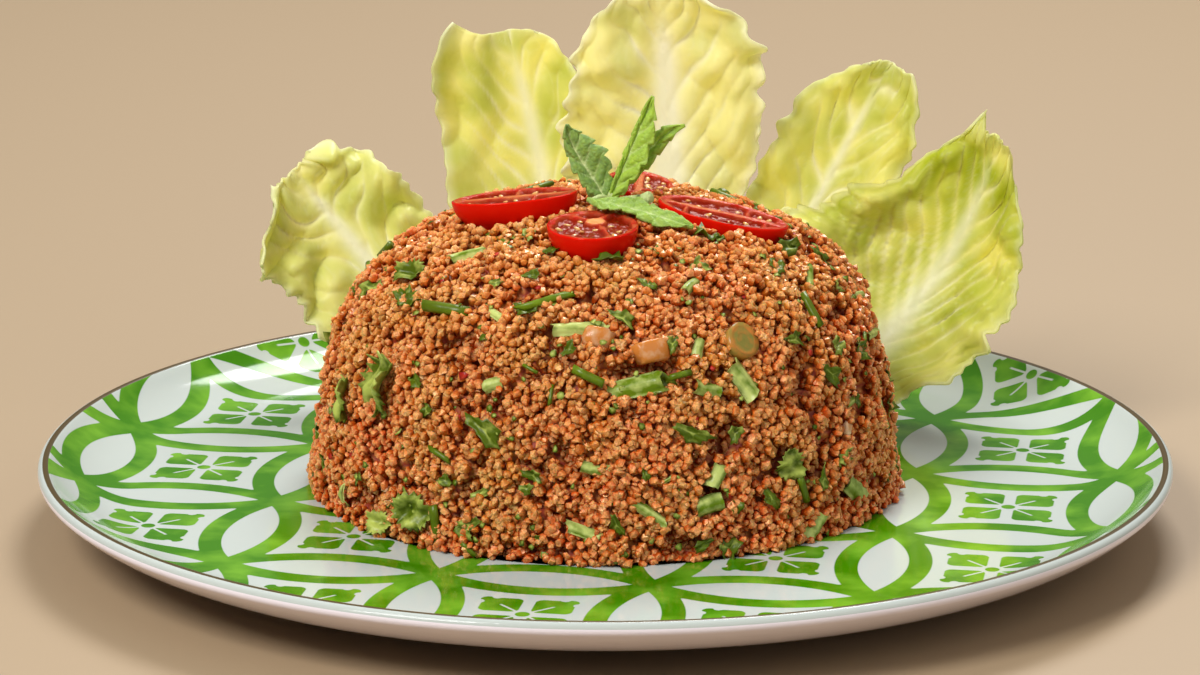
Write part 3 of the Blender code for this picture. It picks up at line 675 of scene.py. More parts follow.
def grain_shapes(draw):
    """Soaked bulgur chips, each the hull of a few corners: angular, uneven and rather blocky."""
    shapes = []
    for _ in range(GRAIN_SHAPES):
        corners = []
        while len(corners) < GRAIN_CORNERS:
            corner = Vector([draw.gauss(0, 1) for _ in range(3)]).normalized()
            if all((corner - other).length > CORNER_GAP for other in corners):
                corners.append(corner)
        stretch = Vector((draw.uniform(0.95, 1.35), 1.0, draw.uniform(0.75, 1.0)))
        points = [corner * stretch * (0.5 / max(map(abs, corner)) ** 0.45) for corner in corners]
        mesh = bpy.data.meshes.new("chip")
        mesh.from_pydata(points, [], [])
        chip = bpy.data.objects.new("chip", mesh)
        bpy.context.scene.collection.objects.link(chip)
        deselect_all()
        chip.select_set(True)
        bpy.context.view_layer.objects.active = chip
        bpy.ops.object.mode_set(mode="EDIT")
        bpy.ops.mesh.select_all(action="SELECT")
        bpy.ops.mesh.convex_hull()
        bpy.ops.mesh.select_all(action="SELECT")
        bpy.ops.mesh.quads_convert_to_tris()
        bpy.ops.object.mode_set(mode="OBJECT")
        shapes.append((corners_of(mesh), [tuple(face.vertices) for face in mesh.polygons], 0.0))
        bpy.data.objects.remove(chip, do_unlink=True)
    return shapes


def soaked_bulgur(salad):
    """Soaked bulgur stained with tomato paste: moist chips that let light in, each of its own colour, with
    painted shade in the crevices and between the grains and a painted highlight on their outer ends.
    """
    material, node = new_material("soaked_bulgur")
    parts = node("SeparateColor", {0: node("Attribute", attribute_name="piece")}, output=None)
    tone_and_shade, paste, outer = parts.outputs
    stained = node("Mix", {0: paste, 6: salad.brown, 7: salad.orange}, **COLOUR_MIX)
    # Painted shade: low values, which hold the darkening of crevices and sunken grains as well as each
    # grain's own lightness, mix towards the gap colour; high values mix towards pale
    dark = node("MapRange", {0: tone_and_shade, 1: 0.0, 2: 0.3, 3: 0.85, 4: 0.0})
    stained = node("Mix", {0: dark, 6: stained, 7: salad.gap}, **COLOUR_MIX)
    light = node("MapRange", {0: tone_and_shade, 1: 0.5, 2: 1.0, 3: 0.0, 4: 0.4})
    body = node("Mix", {0: light, 6: stained, 7: salad.pale}, **COLOUR_MIX)
    # Painted shade on each grain's inner side, where it meets the others, towards the gap colour, and a
    # painted highlight on its outer end, towards the pale colour
    painted_inner_shade = node("MapRange", {0: outer, 1: 0.25, 2: 0.8, 3: 0.9, 4: 0.0})
    body = node("Mix", {0: painted_inner_shade, 6: body, 7: salad.gap}, **COLOUR_MIX)
    painted_outer_highlight = node("MapRange", {0: outer, 1: 0.7, 2: 1.0, 3: 0.0, 4: 0.6})
    body = node("Mix", {0: painted_outer_highlight, 6: body, 7: salad.pale}, **COLOUR_MIX)
    place = node("TexCoord", output=3)
    # Bran and paste leave specks about a third of a millimetre wide
    specks = node("TexNoise", {"Vector": place, "Scale": 2200.0, "Detail": 2.0})
    speck = node("MapRange", {0: specks, 1: 0.35, 2: 0.7, 3: 0.72, 4: 1.18})
    body = node("Mix", {0: 1.0, 6: body, 7: speck}, blend_type="MULTIPLY", **COLOUR_MIX)
    bump = node("Bump", {"Height": specks, "Strength": 0.4, "Distance": 0.2 * MM})
    shader = node(
        "BsdfPrincipled",
        {
            "Base Color": body,
            "Roughness": 0.2,
            "IOR": 1.42,
            "Specular IOR Level": 0.4,
            "Specular Tint": (1.0, 0.68, 0.42),
            "Subsurface Weight": 0.45,
            "Subsurface Radius": (1.0, 0.35, 0.1),
            "Subsurface Scale": 1.2 * MM,
            "Normal": bump,
        },
    )
    node("OutputMaterial", {"Surface": shader}, output=None)
    return material


def packed_bulgur_painted_shade(salad):
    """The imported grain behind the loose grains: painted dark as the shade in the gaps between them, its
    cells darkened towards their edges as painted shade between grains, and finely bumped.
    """
    material, node = new_material("packed_bulgur_painted_shade")
    place = node("TexCoord", output=3)
    cells = node("TexVoronoi", {"Vector": place, "Scale": 620.0})
    # Painted shade: each cell darkens from the brown colour towards the gap colour away from its middle
    shade = node("ValToRGB", {0: cells}, stops=((0.1, tuple(salad.brown)), (0.7, tuple(salad.gap))))
    bump = node("Bump", {"Height": cells, "Strength": 0.6, "Distance": 0.5 * MM}, invert=True)
    shader = node("BsdfPrincipled", {"Base Color": shade, "Roughness": 0.6, "Normal": bump})
    node("OutputMaterial", {"Surface": shader}, output=None)
    return material


class SALAD_OT_mound(bpy.types.Operator):
    """Builds the moulded mound: a packed core with loose grains all over it"""

    bl_idname = "salad.mound"
    bl_label = "Bulgur mound"

    def execute(self, context):
        salad = context.scene.salad_mound
        self.make_core(salad)
        self.make_grains(salad)
        return {"FINISHED"}

    def make_core(self, salad):
        deselect_all()
        bpy.ops.mesh.primitive_uv_sphere_add(segments=220, ring_count=180, radius=1)
        piece = bpy.context.object
        ball = corners_of(piece.data)
        bearing = np.arctan2(ball[:, 1], ball[:, 0])
        share = np.clip(1 - ball[:, 2], 0, 1) * 0.999
        points, normals = on_mound(bearing, share)
        under = ball[:, 2] < 0
        inward = np.hypot(ball[:, 0], ball[:, 1])
        for index in range(len(points)):
            if under[index]:
                points[index, :2] *= inward[index]
                continue
            relief, crevice = clump_relief(points[index], salad.clump)
            points[index] += normals[index] * (relief - CORE_DEPTH - CORE_CREVICE * crevice)
        points[:, 2] = np.maximum(points[:, 2], WELL_HEIGHT + 0.3 * MM)
        deep = inside_tomatoes(points, 0.3 * MM)
        points -= normals * (deep * 10 * MM)[:, None]
        move_corners(piece.data, points)
        bpy.ops.object.shade_smooth()
        finish_piece(
            piece, "salad_core", "bulgur_with_herbs", "bulgur_salad", materials=(packed_bulgur_painted_shade(salad),)
        )

    def make_grains(self, salad):
        draw = random.Random(11)
        shapes = grain_shapes(draw)
        golden = math.pi * (3 - math.sqrt(5))
        count = salad.grain_count
        spread = np.array([draw.random() for _ in range(count)])
        share = (np.arange(count) + spread) / count * 0.9995
        wander = np.array([draw.uniform(-0.02, 0.02) for _ in range(count)])
        bearing = (np.arange(count) * golden + wander) % math.tau
        points, normals = on_mound(bearing, share)
        sectors = {"right": [], "back": [], "left": [], "front": [], "top": []}
        for index in range(count):
            point, normal = points[index], normals[index]
            relief, crevice = clump_relief(point, salad.clump)
            out = relief + draw.uniform(-1.5, 0.8) * MM - GRAIN_CREVICE * crevice
            if herb_covers(point):
                out = min(out, relief - CORE_DEPTH)
            place = point + normal * out
            size = salad.grain_size * draw.uniform(0.7, 1.2)
            place[2] = max(place[2], WELL_HEIGHT + 0.35 * size)
            # Painted shade: grains in a crevice and grains sunk below the clumps get a lower value, which the
            # material darkens towards the gap colour
            sink = max(0.0, -(out - relief) / (0.75 * MM))
            tone_and_shade = draw.uniform(0.15, 1) * (1 - min(0.9 * crevice + 0.1 * sink, 0.95))
            paste = 0.5 + 0.9 * noise.noise(Vector(place) / (17 * MM) + Vector((3, 9, 4)))
            paste += 0.5 * (1 - (place[2] - WELL_HEIGHT) / MOUND_HEIGHT) - 0.28 + draw.uniform(-0.1, 0.1)
            value = (tone_and_shade, min(max(paste, 0), 1))
            quarter = int((math.degrees(bearing[index]) + 45) // 90) % 4
            sector = "top" if share[index] < TOP_SHARE else ("right", "back", "left", "front")[quarter]
            number = draw.randrange(GRAIN_SHAPES)
            # The way out lets the material put painted shade on each grain's inner side and a painted
            # highlight on its outer end
            sectors[sector].append((number, random_turn(draw) * size, place, value, normal / size))
        material = soaked_bulgur(salad)
        for sector, copies in sectors.items():
            deep = inside_tomatoes(np.array([copy[2] for copy in copies]), 0.6 * MM)
            kept = [copy for copy, hidden in zip(copies, deep) if hidden <= 0]
            piece = join_copies(f"bulgur_grains_{sector}", shapes, kept, smooth=False)
            finish_piece(piece, piece.name, "bulgur_with_herbs", "bulgur_salad", materials=(material,))


# The chopped herbs

# The pieces that show most: kind, bearing in degrees, height in mm, length and width in mm, turn in
# degrees, and shade from 0, dark, to 1, pale
SEEN_HERBS = (
    ("big", 218, 34, 15, 13, 80, 0.5), ("big", 204, 27, 11, 8, 120, 0.35),
    ("big", 231, 8, 9, 11, 80, 0.3), ("big", 222, 3, 8, 6, 10, 0.8), ("onion", 218, 62, 8, 3.2, 60, 0.5),
    ("stalk", 229, 52, 12, 2.9, 8, 0.1), ("onion", 242, 53, 7.5, 2.2, -25, 0.7),
    ("stalk", 254, 56, 12, 2.0, 31, 0.6), ("leaf", 250, 54, 6, 4, 20, 0.1),
    ("big", 206, 56, 9, 6, 40, 0.2), ("leaf", 194, 50, 9, 5, 50, 0.6),
    ("leaf", 246, 29, 12, 5.5, -35, 0.35), ("onion", 264, 51.5, 12, 3.5, 8, 0.75),
    ("leaf", 274, 53, 8, 4, -35, 0.45), ("chunk", 268, 50, 8, 6, -10, 0.4),
    ("chunk", 280, 47, 9, 6.5, 14, 0.2), ("onion", 276, 40, 12.5, 5, 12, 0.1),
    ("leaf", 282, 59, 6, 3, -50, 0.1), ("leaf", 272, 63, 8, 4, 10, 0.1),
    ("onion", 294, 58, 6, 2.4, 40, 0.3), ("onion", 291, 46.5, 4.5, 2.6, 70, 0.7),
    ("leaf", 285, 48, 5, 3.5, 70, 0.4), ("onion", 300, 39.5, 8.5, 5, -65, 0.55),
    ("stalk", 325, 49.5, 9.2, 2.2, 82, 0.1), ("leaf", 323, 36, 7.5, 5.2, -45, 0.1),
    ("leaf", 287, 29, 11, 4.4, -22, 0.4), ("onion", 292, 19, 5.5, 3.6, 60, 0.6),
    ("big", 308, 19, 7.5, 8, 30, 0.45), ("onion", 328, 8, 7, 5, -50, 0.3),
    ("leaf", 303, 12, 7.5, 4, -60, 0.1), ("onion", 278, 12, 9.5, 2.6, -35, 0.55),
    ("onion", 266, 8, 8, 2.8, -18, 0.6), ("leaf", 272, 9.5, 7, 3, -62, 0.15),
    ("onion", 290, 12, 6.5, 4.4, 10, 0.2), ("onion", 314, 3, 6, 4.4, 50, 0.7),
    ("leaf", 342, 60, 10, 6, -10, 0.15), ("leaf", 349, 56, 9, 4, -45, 0.15),
    ("leaf", 256, 20, 6, 3.4, -20, 0.4), ("leaf", 246, 15, 6, 2.6, 28, 0.6),
    ("leaf", 255, 17, 4, 3, 10, 0.3), ("leaf", 296, 28, 5, 4, 60, 0.6), ("leaf", 316, 14, 3.4, 7, 0, 0.5),
    ("leaf", 315, 45, 6, 4, -20, 0.2), ("leaf", 328, 41, 5.5, 4.5, 30, 0.7),
    ("leaf", 341, 51, 5, 3.5, 20, 0.8), ("onion", 350, 47, 8, 1.8, -15, 0.8),
    ("onion", 347, 39, 11, 2.2, -8, 0.6), ("stalk", 236, 22, 6, 1.4, -20, 0.3),
    ("onion", 246, 39, 4.4, 3.2, 20, 0.5), ("leaf", 228, 37, 5, 3.8, -30, 0.4),
    ("leaf", 232, 31, 4.4, 3.6, 50, 0.2), ("leaf", 238, 16.5, 4.6, 3.6, 10, 0.4),
    ("leaf", 248, 60, 6, 3, 5, 0.3), ("leaf", 250, 64, 5, 3.4, 40, 0.1), ("leaf", 262, 47, 5, 3, 60, 0.1),
    ("leaf", 288, 4, 6, 3, 30, 0.1), ("onion", 209, 7, 2, 6, 10, 0.7),
    ("pepper", 239, 40, 3.4, 2.4, 20, 0.3), ("pepper", 240, 31, 2, 1.6, 0, 0.3),
    ("chunk", 222, 11, 2.6, 1.8, 0, 0.9), ("chunk", 326, 23, 4, 2.4, 60, 0.8),
    ("slice", 302, 47.2, 8.5, 8.5, 0, 0.3),
)


# Thickness of each kind as a share of its size
LEAF_SHEET = 0.04
ONION_SHEET = 0.08
SLICE_SHEET = 0.3


def disc_faces(points, rings):
    """Triangles of a disc whose corners are its middle and then ring after ring of points."""
    faces = []
    for step in range(points):
        nearby = (step + 1) % points
        faces.append((0, 1 + step, 1 + nearby))
        for ring in range(rings - 1):
            low, high = 1 + ring * points, 1 + (ring + 1) * points
            faces += [(low + step, high + step, high + nearby), (low + step, high + nearby, low + nearby)]
    return faces


def torn_leaf_shapes(draw, points, rings, count, crumple=1.0, broad=False):
    """Torn pieces of parsley leaf about 1 long and wide, three-lobed or broad, crumpled and folded."""
    shapes = []
    for _ in range(count):
        lobes = draw.uniform(0, math.tau)
        phase = draw.uniform(0, math.tau)
        fold = draw.uniform(0.1, 0.5)
        rows, streak = [(0.0, 0.0, 0.0)], [1.0]
        for ring in range(1, rings + 1):
            reach = ring / rings
            for step in range(points):
                angle = math.tau * step / points
                edge = 0.46 if broad else 0.4 + 0.1 * math.cos(3 * angle + lobes)
                edge *= 1 + reach * (0.16 if step % 2 else -0.12) * draw.uniform(0.6, 1.2)
                x, y = edge * reach * math.cos(angle), edge * reach * math.sin(angle)
                ridge = math.sin(9 * x + phase + 3 * y) + 0.8 * math.cos(14 * y - phase + 4 * x)
                z = 0.07 * crumple * ridge + fold * abs(y)
                rows.append((x, y, z * (0.6 + 0.6 * reach)))
                veins = max(math.cos(3 * angle + lobes), 0) ** 6 * (1 - 0.6 * reach)
                # On the broad pieces the third value follows the crumple's ridges: painted light on the
                # ridges and painted shade in the furrows; on the others it marks the veins
                streak.append(0.45 + 0.4 * ridge if broad else veins)
        corners = np.array(rows)
        rim = 1 + (rings - 1) * points
        faces = disc_faces(points, rings)
        shapes.append(thickened(corners, faces, np.clip(streak, 0, 1), LEAF_SHEET, rim, points))
    return shapes


def thickened(corners, faces, streak, thickness, rim, points):
    """A closed thin sheet from an open one whose outline is the points from rim on, in turn."""
    under = corners - np.array([0, 0, thickness])
    total = len(corners)
    sides = [tuple(reversed([index + total for index in face])) for face in faces]
    for step in range(points):
        a, b = rim + step, rim + (step + 1) % points
        sides += [(a, a + total, b + total), (a, b + total, b)]
    return np.vstack([corners, under]), faces + sides, np.concatenate([streak, streak])


def strip_shapes(draw, rows, columns, count):
    """Strips of onion green, 1 long and wide: a split tube, curved across, with torn slanting ends."""
    shapes = []
    for _ in range(count):
        bend = draw.uniform(-0.2, 0.2)
        curl = draw.uniform(0.9, 1.25)
        slant = draw.uniform(-0.5, 0.5)
        twist = draw.uniform(-0.5, 0.5)
        grid, streak = [], []
        for row in range(rows + 1):
            along = row / rows - 0.5
            for column in range(columns + 1):
                across = column / columns - 0.5
                torn = draw.uniform(-0.04, 0.07) if row in (0, rows) else 0.0
                angle = across * 2.4 * curl + twist * along
                x = along * (1 + torn * 2) + slant * across * 0.35 * abs(2 * along) ** 3
                y = 0.5 * math.sin(angle) / math.sin(1.2 * curl) + bend * (4 * along * along - 1) * 0.5
                z = 0.5 * (math.cos(angle) - 1) / 0.9 + draw.uniform(-0.04, 0.04)
                grid.append((x, y, z))
                streak.append(abs(math.sin(across * 9 + bend * 20)))
        line = columns + 1
        faces = []
        for row in range(rows):
            for column in range(columns):
                a = row * line + column
                faces += [(a, a + line, a + line + 1), (a, a + line + 1, a + 1)]
        # The outline is copied to the end of the list, so that it runs in turn
        outline = [row * line for row in range(rows)]
        outline += [rows * line + column for column in range(columns)]
        outline += [row * line + columns for row in range(rows, 0, -1)]
        outline += list(range(columns, 0, -1))
        order = [index for index in range(len(grid)) if index not in outline] + outline
        rank = {index: place for place, index in enumerate(order)}
        corners = np.array([grid[index] for index in order])
        faces = [tuple(rank[index] for index in reversed(face)) for face in faces]
        values = np.array([streak[index] for index in order])
        first = len(order) - len(outline)
        shapes.append(thickened(corners, faces, values, ONION_SHEET, first, len(outline)))
    return shapes


def slice_shape():
    """A round slice of onion, 1 across: rings around a soft middle."""
    points, rings = 20, 5
    rows, streak = [(0.0, 0.0, 0.0)], [0.1]
    for ring in range(1, rings + 1):
        for step in range(points):
            angle = math.tau * step / points
            reach = 0.5 * ring / rings * (1 + 0.04 * math.sin(2 * angle))
            rows.append((reach * math.cos(angle), reach * math.sin(angle), 0.05 * (ring % 2)))
            streak.append((0.1, 0.2, 0.5, 0.3, 0.9, 0.6)[ring])
    rim = 1 + (rings - 1) * points
    return thickened(np.array(rows), disc_faces(points, rings), np.array(streak), SLICE_SHEET, rim, points)


def stalk_shapes(draw, sides, rings, count):
    """Cut lengths of stalk, 1 long and 1 across, bent and cut at a slant."""
    flat = 0.85
    shapes = []
    for _ in range(count):
        bend = draw.uniform(-0.12, 0.12)
        slant = draw.uniform(-0.25, 0.25)
        corners, faces = [], []
        for ring in range(rings + 1):
            x = ring / rings - 0.5
            for step in range(sides):
                angle = math.tau * step / sides
                y, z = 0.5 * math.cos(angle), 0.5 * flat * math.sin(angle)
                corners.append((x + slant * y * (abs(x) * 2) ** 4, y + bend * (4 * x * x - 1), z))
        for ring in range(rings):
            for step in range(sides):
                a, b = ring * sides + step, ring * sides + (step + 1) % sides
                faces += [(b + sides, b, a), (a + sides, b + sides, a)]
        for ring, forward in ((0, True), (rings, False)):
            middle = len(corners)
            corners.append((ring / rings - 0.5, 0.0, 0.0))
            for step in range(sides):
                face = (middle, ring * sides + (step + 1) % sides, ring * sides + step)
                faces.append(face[::-1] if forward else face)
        shapes.append((np.array(corners), faces, 0.2))
    return shapes


def chunk_shapes(draw, count):
    """Lumps of chopped onion with blunt corners, 1 long."""
    ball, faces = solid_of(bpy.ops.mesh.primitive_ico_sphere_add, subdivisions=2, radius=0.5)
    shapes = []
    for _ in range(count):
        shift = Vector((draw.uniform(0, 50), 0, 0))
        bumps = np.array([[1 + 0.35 * noise.noise(Vector(corner) * 3 + shift)] for corner in ball])
        square = np.sign(ball) * np.abs(ball / 0.5) ** 0.42 * 0.42
        shapes.append((square * bumps, faces, 0.3))
    return shapes


def herb_place(bearing, height, turn, lift, clump):
    """Turn and place of a herb that lies flat on the mound: X level and turned, Z outward."""
    share = share_above(height)
    point, normal = on_mound(np.array(bearing), np.array(share))
    relief, _ = clump_relief(point, clump)
    normal = Vector(normal)
    level = Vector((-math.sin(bearing), math.cos(bearing), 0))
    basis = Matrix((level, normal.cross(level), normal)).transposed()
    return basis @ Matrix.Rotation(turn, 3, "Z"), point + np.array(normal) * (relief + lift)


def plant_tissue(name, low, high, roughness, light_through):
    """Fresh cut plant: a damp waxy skin over tissue that lets some light through."""
    material, node = new_material(name)
    parts = node("SeparateColor", {0: node("Attribute", attribute_name="piece")}, output=None)
    place = node("TexCoord", output=3)
    spots = node("TexNoise", {"Vector": place, "Scale": 450.0, "Detail": 3.0})
    uneven = node("MapRange", {0: spots, 1: 0.35, 2: 0.65, 3: -0.35, 4: 0.35})
    # The third value adds veins, stripes and rings, and on crumpled parsley the painted light on its ridges
    # and painted shade in its furrows
    fibres = node("MapRange", {0: parts.outputs[2], 3: -0.4, 4: 0.5})
    uneven = node("Math", {0: uneven, 1: fibres}, operation="ADD")
    shade = node("Math", {0: parts.outputs[0], 1: uneven}, operation="ADD", use_clamp=True)
    body = node("Mix", {0: shade, 6: low, 7: high}, **COLOUR_MIX)
    bump = node("Bump", {"Height": spots, "Strength": 0.5, "Distance": 0.3 * MM})
    shader = node(
        "BsdfPrincipled",
        {"Base Color": body, "Roughness": roughness, "IOR": 1.42, "Specular IOR Level": 0.35, "Normal": bump},
    )
    through = node("BsdfTranslucent", {"Color": body})
    mixed = node("MixShader", {0: light_through, 1: shader, 2: through})
    node("OutputMaterial", {"Surface": mixed}, output=None)
    return material


class SALAD_OT_herbs(bpy.types.Operator):
    """Scatters parsley, spring onion, stalks, onion and pepper flakes over the mound"""

    bl_idname = "salad.herbs"
    bl_label = "Chopped herbs"

    def execute(self, context):
        self.clump = context.scene.salad_mound.clump
        herbs = context.scene.salad_herbs
        draw = random.Random(29)
        self.draw = draw
        shapes = {
            "leaf": torn_leaf_shapes(draw, 18, 4, 10, crumple=1.4),
            "big": torn_leaf_shapes(draw, 36, 9, 5, crumple=1.2, broad=True),
            "fleck": torn_leaf_shapes(draw, 6, 1, 8),
            "onion": strip_shapes(draw, 6, 5, 8),
            "stalk": stalk_shapes(draw, 8, 3, 5),
            "chunk": chunk_shapes(draw, 5),
            "slice": [slice_shape()],
            "pepper": torn_leaf_shapes(draw, 6, 1, 5),
        }
        copies = {kind: [] for kind in shapes}
        for kind, bearing, height, long, wide, turn, shade in SEEN_HERBS:
            bearing, turn = math.radians(bearing), math.radians(turn)
            self.add(copies, shapes, kind, bearing, height, long, wide, turn, shade)
        self.scatter(copies, shapes, herbs)
        parsley = plant_tissue("fresh_parsley", herbs.parsley_dark, herbs.parsley_light, 0.36, 0.2)
        onion = plant_tissue("spring_onion_green", herbs.onion_green, herbs.onion_pale, 0.28, 0.3)
        stalk = plant_tissue("parsley_stalk", herbs.parsley_dark, herbs.onion_green, 0.3, 0.1)
        flesh = plant_tissue("onion_flesh", herbs.onion_white, (0.9, 0.7, 0.45), 0.2, 0.3)
        slice_flesh = plant_tissue("onion_slice", (0.3, 0.26, 0.05), herbs.onion_white, 0.25, 0.3)
        pepper = plant_tissue("dried_pepper", herbs.pepper, (0.55, 0.05, 0.02), 0.35, 0.1)
        looks = {
            "leaf": ("parsley_leaves", parsley),
            "big": ("crumpled_parsley", parsley),
            "fleck": ("parsley_flecks", parsley),
            "onion": ("spring_onion", onion),
            "stalk": ("parsley_stalks", stalk),
            "chunk": ("onion_chunks", flesh),
            "slice": ("onion_slice", slice_flesh),
            "pepper": ("pepper_flakes", pepper),
        }
        for kind, (name, material) in looks.items():
            piece = join_copies(name, shapes[kind], copies[kind])
            finish_piece(piece, name, "bulgur_with_herbs", "bulgur_salad", materials=(material,))
        return {"FINISHED"}

    def add(self, copies, shapes, kind, bearing, height, long, wide, turn, shade):
        draw = self.draw
        thick = {"chunk": 0.7 * wide, "onion": wide, "stalk": wide}.get(kind, min(long, wide))
        lifts = {"onion": 0.6 + 0.15 * wide, "stalk": 0.2 + 0.3 * wide, "chunk": -0.08 * wide, "slice": 1.0}
        lift = lifts.get(kind, 0.6)
        basis, place = herb_place(bearing, height * MM, turn, lift * MM, self.clump)
        tip = Matrix.Rotation(draw.uniform(-0.25, 0.25), 3, "Y")
        tip = tip @ Matrix.Rotation(draw.uniform(-0.3, 0.3), 3, "X")
        size = np.diag([long * MM, wide * MM, thick * MM])
        value = (min(max(shade + draw.uniform(-0.08, 0.08), 0), 1), draw.random())
        number = draw.randrange(len(shapes[kind]))
        place[2] = max(place[2], WELL_HEIGHT + 0.5 * MM + 0.3 * wide * MM)
        copies[kind].append((number, np.array(basis @ tip) @ size, place, value))

    def scatter(self, copies, shapes, herbs):
        draw = self.draw
        seen = [(math.radians(herb[1]), herb[2]) for herb in SEEN_HERBS]
        # How many of each kind, their length in mm, and their width as a share of it
        plan = (
            ("leaf", herbs.parsley_count, (3.2, 7.5), (0.5, 0.9)),
            ("onion", 34, (3, 8), (0.3, 0.6)),
            ("stalk", 60, (3, 9), (0.16, 0.3)),
            ("chunk", 16, (2, 4), (0.6, 0.9)),
            ("pepper", 70, (1, 2.2), (0.6, 1)),
            ("fleck", herbs.fleck_count, (1, 2.8), (0.5, 1)),
        )
        rows = [row for row in plan for _ in range(row[1])]
        for kind, _, (low, high), (narrow, broad) in rows:
            share = draw.uniform(0.02, 0.985)
            bearing = draw.uniform(0, math.tau)
            height = float(np.interp(share, PROFILE[2], PROFILE[1])) / MM
            long = draw.uniform(low, high)
            crowded = any(
                math.hypot((bearing - other) * MOUND_RADIUS / MM, height - level) < 6 for other, level in seen
            )
            turn = draw.uniform(0, math.pi)
            wide = long * draw.uniform(narrow, broad)
            shade = draw.uniform(0.0, 0.6)
            place = on_mound(np.array(bearing), np.array(share))[0]
            hidden = inside_tomatoes(place[None], (0.5 * long) * MM)[0] > 0
            if hidden or (crowded and kind not in ("fleck", "pepper")):
                continue
            self.add(copies, shapes, kind, bearing, height, long, wide, turn, shade)


# The romaine leaves

# Each leaf, its front on the side that faces the mound:
# rib, points in mm; left and right, half widths in mm at even steps along the rib
# faces, the way that the face looks at foot and tip
# bend, degrees that each edge bends forward at foot, middle and tip
# flare, degrees that each edge's margin turns back
# ruffle and ruffles, depth in mm and number per edge
# crumple, how strongly the blade folds, frills and puffs between its veins
# bluntness, of the tip; crown, how far each edge runs up past the tip in mm; seed, of the leaf's noise
# sweep, how far the side veins lean; midrib, its half width in mm at foot and tip
# green, pale and stripes, how much of each the colour has
LEAVES = {
    "romaine_leaf_far_left": {
        "rib": ((-33, 68, 12), (-50, 79, 30), (-70, 86, 54), (-81, 79, 69)),
        "left": (9, 21, 24, 23, 29, 19), "right": (9, 14, 22, 24, 21, 17),
        "faces": ((-0.1, -1, 0.3), (0.2, -1, 0.15)), "bend": ((30, 60, 95), (30, 45, 60)), "ruffle": 3.6,
        "ruffles": 2.7, "bluntness": 9, "seed": 11, "sweep": 1.3, "crumple": 3.8, "crown": (1.5, 0.5),
        "green": 0.3, "flare": (15, 100), "midrib": (4.5, 1.5), "stripes": 0.5, "pale": 0.18,
    },
    "romaine_leaf_left": {
        "rib": ((-9, 78, 12), (-11, 86, 40), (-17, 95, 75), (-26, 92, 104)),
        "left": (9, 21, 27, 26, 24, 23), "right": (9, 13, 17, 18, 15, 13),
        "faces": ((0, -1, 0.1), (0.1, -1, -0.1)), "bend": ((30, 35, 40), (30, 30, 30)), "ruffle": 1.6,
        "ruffles": 2.4, "bluntness": 18, "seed": 23, "sweep": 1.5, "crumple": 1.5, "crown": (8.0, -3.0),
        "green": 0.25, "flare": (0, 0), "midrib": (4.5, 1.5), "stripes": 0.35, "pale": 0.1,
    },
    "romaine_leaf_middle": {
        "rib": ((14, 75, 12), (16, 80, 48), (18, 84, 88), (13, 70, 117.5)),
        "left": (9, 20, 27, 28, 25, 20), "right": (9, 13, 19, 24, 26, 23),
        "faces": ((0, -1, 0.1), (0, -1, -0.35)), "bend": ((30, 35, 40), (30, 35, 45)), "ruffle": 1.8,
        "ruffles": 3.0, "bluntness": 10, "seed": 37, "sweep": 1.5, "crumple": 2.4, "crown": (2.0, 0.0),
        "green": 0.05, "flare": (20, 30), "midrib": (8.0, 2.5), "stripes": 0.2, "pale": 0.35,
    },
    "romaine_leaf_right": {
        "rib": ((37, 68, 12), (42, 82, 38), (60, 90, 68), (74, 82, 97.5)),
        "left": (9, 14, 17, 18, 18, 10), "right": (9, 14, 18, 18, 17, 15),
        "faces": ((0, -1, 0.2), (-0.35, -1, -0.1)), "bend": ((60, 75, 60), (50, 60, 50)), "ruffle": 2.6,
        "ruffles": 3.2, "bluntness": 9, "seed": 41, "sweep": 1.6, "crumple": 2.6, "crown": (-2.0, 1.0),
        "green": 0.3, "flare": (80, 50), "midrib": (2.5, 1.2), "stripes": 0.5, "pale": 0.1,
    },
    "romaine_leaf_far_right": {
        "rib": ((54, 54, 12), (70, 62, 27), (95, 74, 45), (99, 62, 83)), "left": (9, 27, 46, 42, 26, 12),
        "right": (9, 19, 27, 27, 20, 12), "faces": ((-0.2, -1, 0.45), (-0.35, -1, 0.0)),
        "bend": ((100, 130, 90), (80, 120, 90)), "ruffle": 3.6, "ruffles": 3.4, "bluntness": 7,
        "seed": 59, "sweep": 2.2, "crumple": 3.2, "crown": (6.0, -8.0), "green": 0.35, "flare": (170, 70),
        "midrib": (6.0, 1.2), "stripes": 0.9, "pale": 0.0,
    },
}
LEAF_ROWS = 120
LEAF_COLUMNS = 72
MOUND_CLEARANCE = 3.4 * MM


def blade_frame(leaf, t):
    """Rib point of a leaf at t, with the directions to its side and out of its face."""
    rib = [Vector(p) * MM for p in leaf["rib"]]
    along = bezier_slope(rib, t)
    face = Vector(leaf["faces"][0]).lerp(Vector(leaf["faces"][1]), t)
    side = along.cross(face).normalized()
    return bezier(rib, t), side, side.cross(along).normalized()


def rolled(across, bend, flare):
    """Reach and lift, in half widths, of a half leaf that bends by one angle towards its edge and flares
    back by another at its margin."""
    steps = 10
    reach = lift = 0.0
    for step in range(steps):
        part = (step + 0.5) / steps * across
        angle = bend * part**1.6 - flare * smooth_step(0.6, 0.9, part)
        reach += math.cos(angle) * across / steps
        lift += math.sin(angle) * across / steps
    return reach, lift


def keep_clear(point, plate, rib):
    """Moves a leaf's point out of the mound and up off the plate."""
    around = math.hypot(point.x, point.y)
    height = point.z - WELL_HEIGHT
    if height < MOUND_HEIGHT:
        least = float(mound_radius(max(height, 0.0))) + MOUND_CLEARANCE
        if around < least:
            point.x *= least / around
            point.y *= least / around
            around = least
    point.z = max(point.z, plate_top(around, plate) + 0.65 * MM + rib / 2 + 0.4 * MM)
    return point


